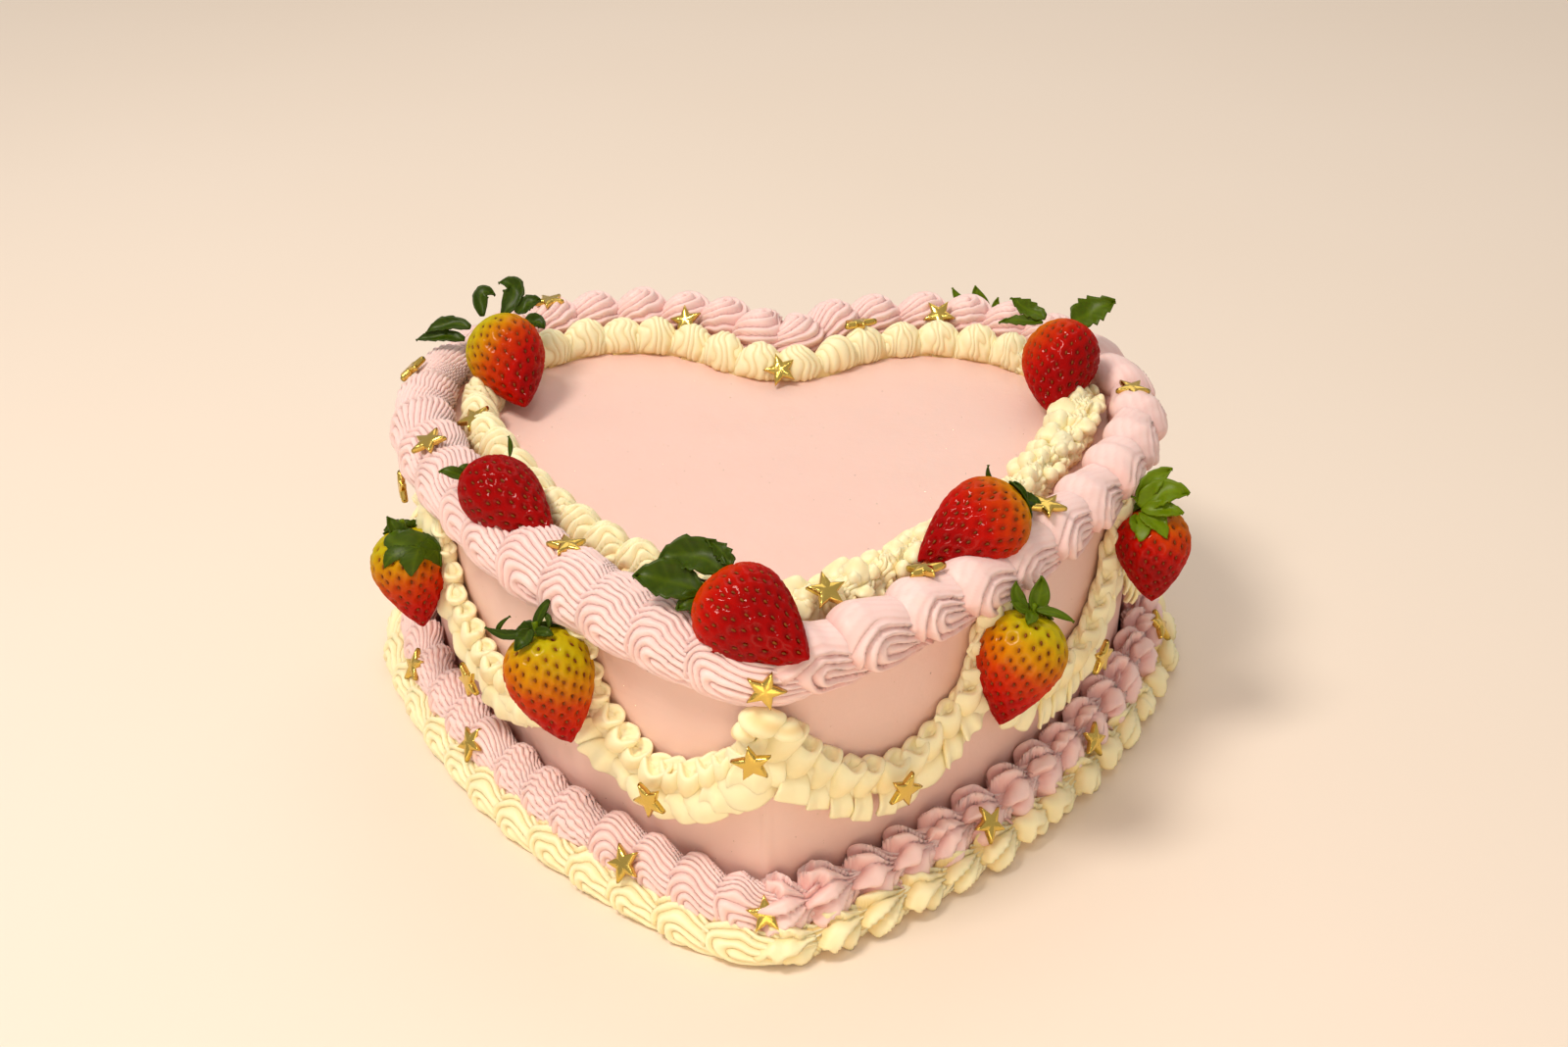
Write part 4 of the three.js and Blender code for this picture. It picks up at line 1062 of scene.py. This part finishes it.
def berry_mesh(name, berry, rows=74, columns=88):
    """The flesh, pitted where the seeds sit."""
    share = (0.5 - 0.5 * np.cos(np.linspace(0, math.pi, rows + 2)))[1:-1][:, None]
    skin = berry.surface(share, around(columns))
    flat = skin.reshape(-1, 3)
    pits = berry.surface(*berry.seed_places())
    gap = np.sqrt((((flat[:, None, :] - pits[None]) * [1, 1, 0.68]) ** 2).sum(-1)).min(1)
    normals = unit(np.cross(np.gradient(skin, axis=1), np.gradient(skin, axis=0)).reshape(-1, 3))
    if (normals * (flat - flat.mean(0))).sum() < 0:
        normals = -normals
    pitted = np.exp(-((gap / PIT_WIDTH) ** 2))
    move = 0.26 * np.exp(-(((gap - 1.7) / 0.6) ** 2)) - 1.0 * pitted
    points = np.concatenate([flat + normals * move[:, None], [[0, 0, 0], [0, 0, berry.length - CROWN_DIP]]])
    sideways = (normals @ berry.turn.T)[:, 0] * berry.lean
    ripe = berry.ripe + np.repeat(1.15 * (1 - share) ** 0.9, columns) + sideways
    # The pits also darken the skin's colour, as painted shade
    values = {"ripe": np.append(ripe, [1.2, berry.ripe]), "pit": np.append(pitted, [0, 0])}
    return mesh_from(name, *closed(berry.placed(points), rows, **values))


def berry_seeds(berry, small=0.02, sunk=0.62):
    """Place and turn of each seed, lying in its pit with its length along the skin."""
    share, angle = berry.seed_places()
    pits = berry.surface(share, angle)
    down = berry.surface(share - small, angle) - pits
    normals = unit(np.cross(berry.surface(share, angle + small) - pits, down))
    seeds = []
    for point, normal, run in zip(pits, normals, down):
        if np.dot(normal, point * [1, 1, 0]) < 0:
            normal = -normal
        z_axis = Vector(berry.turn @ normal).normalized()
        x_axis = Vector(berry.turn @ run).normalized()
        x_axis = (x_axis - z_axis * x_axis.dot(z_axis)).normalized()
        matrix = Matrix((x_axis, z_axis.cross(x_axis), z_axis)).transposed()
        seeds.append((berry.placed(point - sunk * normal), tuple(matrix.to_euler())))
    return seeds


def seed_mesh(rows=4, columns=6):
    """One seed: a flat little teardrop."""
    latitude, longitude = ball_grid(rows, columns)
    y = 0.36 * (1 - 0.35 * np.sin(latitude)) * np.cos(latitude) * np.cos(longitude)
    z = 0.3 * np.cos(latitude) * np.sin(longitude)
    points = grid_points(0.7 * np.sin(latitude), y, z, (-0.7, 0, 0), (0.7, 0, 0))
    return mesh_from("seed", *closed(points, rows))


def leaf_grid(crown, leaf, lift):
    """One leaf along a bent path, wavy and notched, and how near each point is to a vein."""
    *path, near, width, cut = leaf
    start, bend, end = (
        crown + path[2 * k] * RIGHT + path[2 * k + 1] * UPWARD + near * share * NEARER
        for k, share in enumerate((0.35, 1.0, 0.9))
    )
    t = np.linspace(0, 1, 22)[:, None, None]
    q = np.linspace(-1, 1, 9)[None, :]
    centre = (1 - t) ** 2 * start + 2 * t * (1 - t) * bend + t**2 * end
    run = unit(2 * (1 - t) * (bend - start) + 2 * t * (end - bend), 1e-6)
    face = 0.8 * NEARER + 0.35 * UPWARD
    face = unit(face - run * (run @ face)[..., None], 1e-6)
    s = t[..., 0]
    girth = width / 2 * np.clip(np.sin(math.pi * (0.04 + 0.96 * s) ** 0.85), 0.02, 1) ** 0.75
    girth = girth * (1 + cut * ((4.6 * (1 - s)) % 1 - 0.5) * (s > 0.12))
    bow = width * (0.16 * (q**2 - 0.4) + 0.05 * np.sin(9 * s + 2 * q + lift))
    points = centre + np.cross(run, face) * (q * girth)[..., None] + face * (bow + 0.15 * lift)[..., None]
    vein = np.exp(-((q / 0.14) ** 2)) + 0.5 * np.exp(-((((np.abs(q) * 1.3 - s * 6) % 1 - 0.5) / 0.16) ** 2))
    return points, np.broadcast_to(np.clip(0.8 * vein, 0, 1), points.shape[:2])


def leaves_mesh(name, berry, foliage, tone, number):
    """The green crown of one strawberry: separate leaves round a short stem, none of them in the flesh."""
    crown = berry.placed(np.array([0, 0, berry.length]))
    solids = []
    for order, leaf in enumerate(foliage + FAR_LEAVES):
        points, vein = leaf_grid(crown, leaf, (order * 2.4 + number) % 3)
        own = (points - berry.tip) @ berry.turn
        share = own[..., 2] / berry.length
        clear = berry.girth(share) * 1.04 + 0.5
        across = np.linalg.norm(own[..., :2], axis=-1)
        push = np.where(share < 0.99, np.maximum(clear / np.maximum(across, 0.5), 1.0), 1.0)
        own[..., :2] *= push[..., None]
        solids.append(sheet(berry.placed(own), np.full(vein.shape, 0.5), vein=0.25 * vein + tone))
    rows = columns = 8
    t, a = np.linspace(0, 1, rows)[:, None], around(columns)
    width, foot, top = 1.4 - 0.5 * t, berry.length - 2, berry.length + 3
    poles = (0, 0, foot - 0.2), (0, 0, top + 0.2)
    stem = berry.placed(grid_points(width * np.cos(a), width * np.sin(a), foot + (top - foot) * t, *poles))
    solids.append(closed(stem, rows, vein=np.full(len(stem), 0.7)))
    return mesh_from(name, *joined(solids))


def star_mesh(columns=60):
    """A thick five pointed star with rounded edges and a low dome."""
    angle = around(columns)
    spike = np.abs(2 * ((angle * 5 / (2 * math.pi)) % 1) - 1)
    plan = 1 / (1 / STAR_POINT + (1 / STAR_NOTCH - 1 / STAR_POINT) * (1 - spike) ** 0.9)
    scale, height = np.array(STAR_LEVELS).T[:, :, None]
    poles = (0, 0, STAR_LEVELS[0][1]), (0, 0, STAR_LEVELS[-1][1])
    points = grid_points(plan * scale * np.sin(angle), plan * scale * np.cos(angle), height, *poles)
    return mesh_from("star", *closed(points, len(STAR_LEVELS)))


def star_seats():
    """Name, centre and turn of each star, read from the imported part's own stars."""
    seats = []
    for name in sorted(n for n in frame["nodes"] if n.startswith("star_")):
        corners = np.unique(np.round([v.co / MM for v in frame["nodes"][name].data.vertices], 3), axis=0)
        centre = corners.mean(0)
        normal = np.linalg.svd(corners - centre)[2][2]
        flat = (corners - centre) - np.outer((corners - centre) @ normal, normal)
        reach = np.linalg.norm(flat, axis=1)
        middle = corners[reach > 1.5].mean(0)
        heights = (corners - middle) @ normal
        if heights[np.argmax(np.abs(heights))] < 0:
            normal = -normal
        arm = corners[np.argmax(reach)] - middle
        arm -= normal * (arm @ normal)
        z_axis, y_axis = Vector(normal).normalized(), Vector(arm).normalized()
        matrix = Matrix((y_axis.cross(z_axis), y_axis, z_axis)).transposed()
        seats.append((name, middle + 0.4 * normal, tuple(matrix.to_euler())))
    return seats


def body_mesh(columns=560):
    """The smooth iced heart: upright wall, softly rounded top edge and a fine seam at the tip."""
    distances = np.linspace(-WALL.half, WALL.half, columns, endpoint=False)
    seam = 1.1 * np.exp(-np.abs(distances) / 1.3)
    rings = []
    for height in np.concatenate([[0.0, 0.4], np.linspace(2, CAKE_HEIGHT - 2.4, 40)]):
        out = seam + 0.22 * ripple(distances / 40, np.full(columns, height / 30), 5, 1.2) - 0.1
        rings.append(np.column_stack([WALL.at(distances, out), np.full(columns, height)]))
    for angle in np.linspace(0.25, 1, 4) * math.pi / 2:
        plan = WALL.at(distances, np.full(columns, -EDGE_ROUND * (1 - math.cos(angle))))
        height = CAKE_HEIGHT - EDGE_ROUND + EDGE_ROUND * math.sin(angle)
        rings.append(np.column_stack([plan, np.full(columns, height)]))
    edge, centre = rings[-1], np.array([0.0, 4.0, CAKE_HEIGHT])
    for share in np.linspace(0.97, 0.05, 30):
        ring = centre + (edge - centre) * share
        ring[:, 2] = CAKE_HEIGHT + 0.16 * ripple(ring[:, 0] / 40, ring[:, 1] / 40, 7, 1.0)
        rings.append(ring)
    points = np.concatenate(rings + [[rings[0].mean(0)], [centre]])
    return mesh_from("cake_body_icing", *closed(points, len(rings), crest=np.full(len(points), 0.6)))


def shell_steps(first, last, pitch, seed):
    """Distances of the shells between two places, evenly apart but for a hand's unevenness."""
    count = max(round((last - first) / pitch), 1)
    step = (last - first) / count
    return first + (np.arange(count) + 0.5) * step + 0.07 * step * uneven(count, seed=seed)


def crumb_places(border, last, seed):
    """Places and sizes of the clots over the right front of the inner border."""
    rng = np.random.default_rng(seed)
    out, up, wide, high = border["bead"]
    count = int(last / CRUMB_SPACE)
    along = rng.uniform(6, last, count)
    angle = np.radians(rng.uniform(30, 180, count))
    # Big soft clots lie inside, small ones fringe the pink border
    sizes = 0.5 + 0.95 * angle / math.pi * rng.uniform(0.5, 1.2, count)
    sizes = sizes[:, None] * rng.uniform(0.85, 1.15, (count, 3))
    inwards = border["offset"] - out - 1.25 * wide * np.cos(angle)
    return np.column_stack([along, inwards, up + 0.9 * high * np.sin(angle) + 0.6]), sizes


def settle(piece):
    """Flattens what would reach below the floor."""
    co = np.zeros(len(piece.data.vertices) * 3)
    piece.data.vertices.foreach_get("co", co)
    co[2::3] = np.maximum(co[2::3], 0.0)
    piece.data.vertices.foreach_set("co", co)
    piece.data.update()


def ruffle_parts(seed):
    """Cups, petals, tongues and bowls, a few kinds of each, then a ruffle's core and the tip's knob."""
    kinds = range(RUFFLE_KINDS)
    return [
        *(cup_mesh("roll", 0.5 + 0.12 * k, seed + k) for k in kinds),
        *(petal_mesh("petal", 6.6 + 0.6 * k, 12.0 + 0.5 * (k % 3), False, seed + k) for k in kinds),
        *(petal_mesh("tongue", 4.1 + 0.15 * k, 10.6 + 0.6 * (k % 2), True, seed + k) for k in kinds),
        *(cup_mesh("bowl", 0.1 * k, seed + 10 + k) for k in kinds),
        blob_mesh("core", (6.2, 3.2, 5.4), 0, seed),
        blob_mesh("knob", (4.3, 4.0, 4.4), 2, seed + 1),
    ]


def swag_line(side, number):
    """Distances along the half, heights and slopes of the ruffles between two junctions."""
    first, last = JUNCTIONS[side][number : number + 2]
    share = np.linspace(0, 1, 400)
    along = first + (last - first) * share
    height = JUNCTION_HEIGHT - SWAG_DROPS[number] * np.sin(math.pi * share) ** SWAG_CURVE
    # The icing climbs to the border behind each strawberry
    for place, covered in ((first, number > 0), (last, number < len(SWAG_DROPS) - 1)):
        height = height + CLIMB * covered * np.exp(-np.abs(along - place) / CLIMB_WIDTH)
    slope = np.arctan2(np.gradient(height), np.gradient(along))
    run = np.concatenate([[0], np.cumsum(np.hypot(np.diff(along), np.diff(height)))])
    count = round(run[-1] / RUFFLE_PITCH[side])
    spots = (np.arange(count) + 0.5) * run[-1] / count
    return [np.interp(spots, run, line) for line in (along, height, slope)]


def swag_rows(side, number, seed):
    """Places, turns, sizes and kinds of the parts of one swag: cups above, petals below, cores within."""
    x, z, slope = swag_line(side, number)
    count, zero = len(x), np.zeros(len(x))
    rng = np.random.default_rng(seed)
    mixed = np.arange(count) % RUFFLE_KINDS
    bowls = (np.abs(slope) < 0.7) & (side < 0) & (number == 0)
    upper = rng.permutation(mixed) + np.where(bowls, 3, 0) * RUFFLE_KINDS
    tongues = (slope < 0.1) & (side > 0) & (number % 2 == 0)
    lower = rng.permutation(mixed) + np.where(tongues, 2, 1) * RUFFLE_KINDS
    core = 4 * RUFFLE_KINDS
    lean = 0.35 if side < 0 else 0.0
    tilt = np.column_stack([zero, -side * 0.5 * slope, zero])
    hang = np.column_stack([zero, lean - side * np.where(tongues, 0.1, 0.4) * slope, zero])
    steep = np.clip(np.abs(slope) - 0.5, 0, 0.6)[:, None] * (side < 0)
    x, stagger = side * x, -0.3 * (np.arange(count) % 2)
    rows = [
        (np.column_stack([x, zero, z + 1.0]), tilt, 1 - steep * (0.35, 0.3, 0.5), upper),
        (np.column_stack([x, stagger, z]), hang, 1 + steep * (0.1, 0.2, 0.15), lower),
        (np.column_stack([x, zero - 3.0, z + 1.5]), tilt, np.ones((count, 3)), np.full(count, core)),
    ]
    if number == 0 and side > 0:
        rows.append((*DOLLOP, [core + 1] * 3))
    return dict(zip(("places", "turns", "sizes", "kinds"), map(np.concatenate, zip(*rows))))


class CakeSizes(bpy.types.PropertyGroup):
    """Settings of the cake"""

    ridge_depth: bpy.props.FloatProperty(
        name="Ridge depth",
        description="Depth of the nozzle's ridges against the usual",
        default=1.0,
        min=0.0,
        max=2.0,
    )
    shell_spread: bpy.props.FloatProperty(
        name="Shell unevenness",
        description="How much the shells differ in size",
        default=0.05,
        min=0.0,
        max=0.3,
    )
    shell_sway: bpy.props.FloatProperty(
        name="Shell sway", description="How far a shell is turned from the row", subtype="ANGLE", default=0.06
    )
    flake_density: bpy.props.FloatProperty(
        name="Flakes", description="Glitter flakes on each square metre", default=6000.0, min=0.0
    )
    seed: bpy.props.IntProperty(name="Seed", description="Start of all random draws", default=7)


class CAKE_OT_body(bpy.types.Operator):
    """Lay the smooth icing over the heart"""

    bl_idname = "cake.body"
    bl_label = "Smooth Icing"

    def execute(self, context):
        body = keep("cake_body_icing", body_mesh(), coat("smooth_icing"))
        finish_piece(body, "smooth_icing", "cake_body")
        return {"FINISHED"}


class CAKE_OT_borders(bpy.types.Operator):
    """Pipe the four borders of shells"""

    bl_idname = "cake.borders"
    bl_label = "Piped Borders"

    def execute(self, context):
        given = context.scene.cake_sizes
        for order, (key, border) in enumerate(BORDERS.items()):
            outline = Outline(border["offset"], *border["rounds"])
            out, up = border["bead"][:2]
            turn = BACK_STARTS * outline.half
            for side, name in SIDES.items():
                seed = given.seed + 20 * order + (10 if side > 0 else 0)
                parts = [
                    shell_mesh(f"{key}_shell", border, manner, seed + k, given.ridge_depth)
                    for manner in (border[name], border["back"])
                    for k in range(SHELL_KINDS)
                ]
                flank = shell_steps(0.0, turn, border[name][1], seed)
                rear = shell_steps(turn, outline.half, border["back"][1], seed + 1)
                # Shells lie heads first round the whole cake, so the left half runs to the tip
                step = side * np.concatenate([flank, rear])
                count = len(step)
                kinds = np.random.default_rng(seed).permutation(np.arange(count) % SHELL_KINDS)
                kinds = kinds + np.where(np.arange(count) >= len(flank), SHELL_KINDS, 0)
                places = np.column_stack([step, np.full(count, border["offset"] - out), np.full(count, up)])
                sizes = np.ones((count, 3))
                if border[name][0] == "crumb":
                    extra, room = crumb_places(border, turn, seed)
                    parts += [crumb_mesh("crumb", seed + k) for k in range(SHELL_KINDS)]
                    kinds = np.append(kinds, 2 * SHELL_KINDS + np.arange(len(extra)) % SHELL_KINDS)
                    places, sizes = np.concatenate([places, extra]), np.concatenate([sizes, room])
                piece = set_along(
                    f"{key}_shells_{name}", places, parts, coat(border["slot"]), outline, sizes=sizes,
                    kinds=kinds, spread=(given.shell_spread, given.shell_sway), seed=seed,
                )
                settle(piece)
                finish_piece(piece, border["slot"], border["node"])
        return {"FINISHED"}


class CAKE_OT_swags(bpy.types.Operator):
    """Hang the ruffle swags on the wall"""

    bl_idname = "cake.swags"
    bl_label = "Ruffle Swags"

    def execute(self, context):
        for side, half in SIDES.items():
            seed = context.scene.cake_sizes.seed + 200 + side
            given = {"parts": ruffle_parts(seed), "finish": coat("cream_icing"), "outline": WALL}
            for number in range(len(SWAG_DROPS)):
                name = f"{half}_{number + 1}"
                rows = swag_rows(side, number, seed + number)
                piece = set_along(
                    f"swag_ruffles_{name}", **given, **rows, spread=(0.07, 0.1), seed=seed + number
                )
                finish_piece(piece, "cream_icing", f"swag_{name}")
        return {"FINISHED"}


class CAKE_OT_strawberries(bpy.types.Operator):
    """Set the strawberries in the icing"""

    bl_idname = "cake.strawberries"
    bl_label = "Strawberries"

    def execute(self, context):
        seeds = []
        for number, (name, berry) in enumerate(all_berries(context.scene.cake_sizes.seed).items()):
            seeds += berry_seeds(berry)
            flesh = berry_mesh(name + "_flesh", berry)
            finish_piece(keep(flesh.name, flesh, coat("strawberry")), "strawberry", name)
            tone = LEAF_TONES.get(name, LEAF_TONE)
            leaves = leaves_mesh(name + "_leaves", berry, LEAVES[name], tone, number)
            finish_piece(keep(leaves.name, leaves, coat("leaf")), "leaf")
        places, turns = zip(*seeds)
        piece = set_along(
            "strawberry_seeds", places, [seed_mesh()], coat("seed"), turns=turns, spread=(0.12, 0.0)
        )
        finish_piece(piece, "strawberry")
        return {"FINISHED"}


class CAKE_OT_stars(bpy.types.Operator):
    """Lay the gold stars"""

    bl_idname = "cake.stars"
    bl_label = "Gold Stars"

    def execute(self, context):
        names, places, turns = zip(*star_seats())
        piece = set_along(
            "gold_stars", places, [star_mesh()], coat("gold_star"), turns=turns, spread=(0.05, 0.0)
        )
        finish_piece(piece, "gold_star", *names)
        return {"FINISHED"}


class CAKE_OT_flakes(bpy.types.Operator):
    """Scatter glitter flakes over the smooth icing"""

    bl_idname = "cake.flakes"
    bl_label = "Glitter Flakes"

    def execute(self, context):
        given = context.scene.cake_sizes
        body = bpy.data.objects["cake_body_icing"]
        ring = FLAKE_RADIUS * np.cos(around(6)), FLAKE_RADIUS * np.sin(around(6)), 0.0
        solid = closed(grid_points(*ring, (0, 0, -FLAKE_DEPTH), (0, 0, FLAKE_DEPTH)), 1)
        flake = keep("flake", mesh_from("flake", *solid))
        values = {
            "Flake": flake,
            "Density": given.flake_density,
            "Smallest": 0.5,
            "Seed": given.seed,
            "Finish": coat("flake"),
        }
        piece = grown("glitter_flakes", body.data.copy(), scatter_tree(), values)
        bpy.data.objects.remove(flake)
        finish_piece(piece, "gold_star")
        return {"FINISHED"}


class CAKE_OT_stage(bpy.types.Operator):
    """Set the pale floor, the soft lights and the camera"""

    bl_idname = "cake.stage"
    bl_label = "Stage"

    def execute(self, context):
        scene = context.scene
        square = ((-1, -1), (1, -1), (1, 1), (-1, 1))
        corners = [(FLOOR_SIZE * x, FLOOR_SIZE * y, FLOOR_LEVEL) for x, y in square]
        keep("floor", mesh_from("floor", corners, [(0, 1, 2, 3)]), coat("floor"))
        scene.world = bpy.data.worlds.new("Studio")
        scene.world.use_nodes = True
        feed(scene.world.node_tree.nodes["Background"], {"Color": linear(SKY), "Strength": SKY_STRENGTH})
        for name, (place, aim, width, power, colour) in LAMPS.items():
            data = bpy.data.lights.new(name, "AREA")
            data.shape, data.size = "SQUARE", width
            data.energy, data.color = power, linear(colour)[:3]
            lamp = keep(name, data)
            lamp.location = place
            lamp.rotation_euler = (Vector(aim) - Vector(place)).to_track_quat("-Z", "Y").to_euler()
        data = bpy.data.cameras.new("camera")
        data.sensor_width, data.lens = SENSOR, LENS
        data.clip_start, data.clip_end = 0.01, 50.0
        scene.camera = keep("camera", data)
        scene.camera.location = CAMERA_PLACE
        scene.camera.rotation_euler = (VIEW_PITCH, 0.0, VIEW_YAW)
        scene.view_settings.view_transform = "Standard"
        return {"FINISHED"}


class CAKE_PT_panel(bpy.types.Panel):
    """Settings and steps of the cake"""

    bl_idname = "CAKE_PT_panel"
    bl_label = "Heart Shaped Cake"
    bl_space_type = "VIEW_3D"
    bl_region_type = "UI"
    bl_category = "Cake"

    def draw(self, context):
        for key in ("ridge_depth", "shell_spread", "shell_sway", "flake_density", "seed"):
            self.layout.prop(context.scene.cake_sizes, key)
        for operator in OPERATORS:
            self.layout.operator(operator.bl_idname)


OPERATORS = (
    CAKE_OT_body,
    CAKE_OT_borders,
    CAKE_OT_swags,
    CAKE_OT_strawberries,
    CAKE_OT_stars,
    CAKE_OT_flakes,
    CAKE_OT_stage,
)
CLASSES = (CakeSizes, *OPERATORS, CAKE_PT_panel)


def register():
    for cls in CLASSES:
        bpy.utils.register_class(cls)
    bpy.types.Scene.cake_sizes = bpy.props.PointerProperty(type=CakeSizes)


def unregister():
    del bpy.types.Scene.cake_sizes
    for cls in reversed(CLASSES):
        bpy.utils.unregister_class(cls)


def main():
    register()
    bpy.ops.cake.body()
    bpy.ops.cake.borders()
    bpy.ops.cake.swags()
    bpy.ops.cake.strawberries()
    bpy.ops.cake.stars()
    bpy.ops.cake.flakes()
    bpy.ops.cake.stage()


if __name__ == "__main__":
    main()
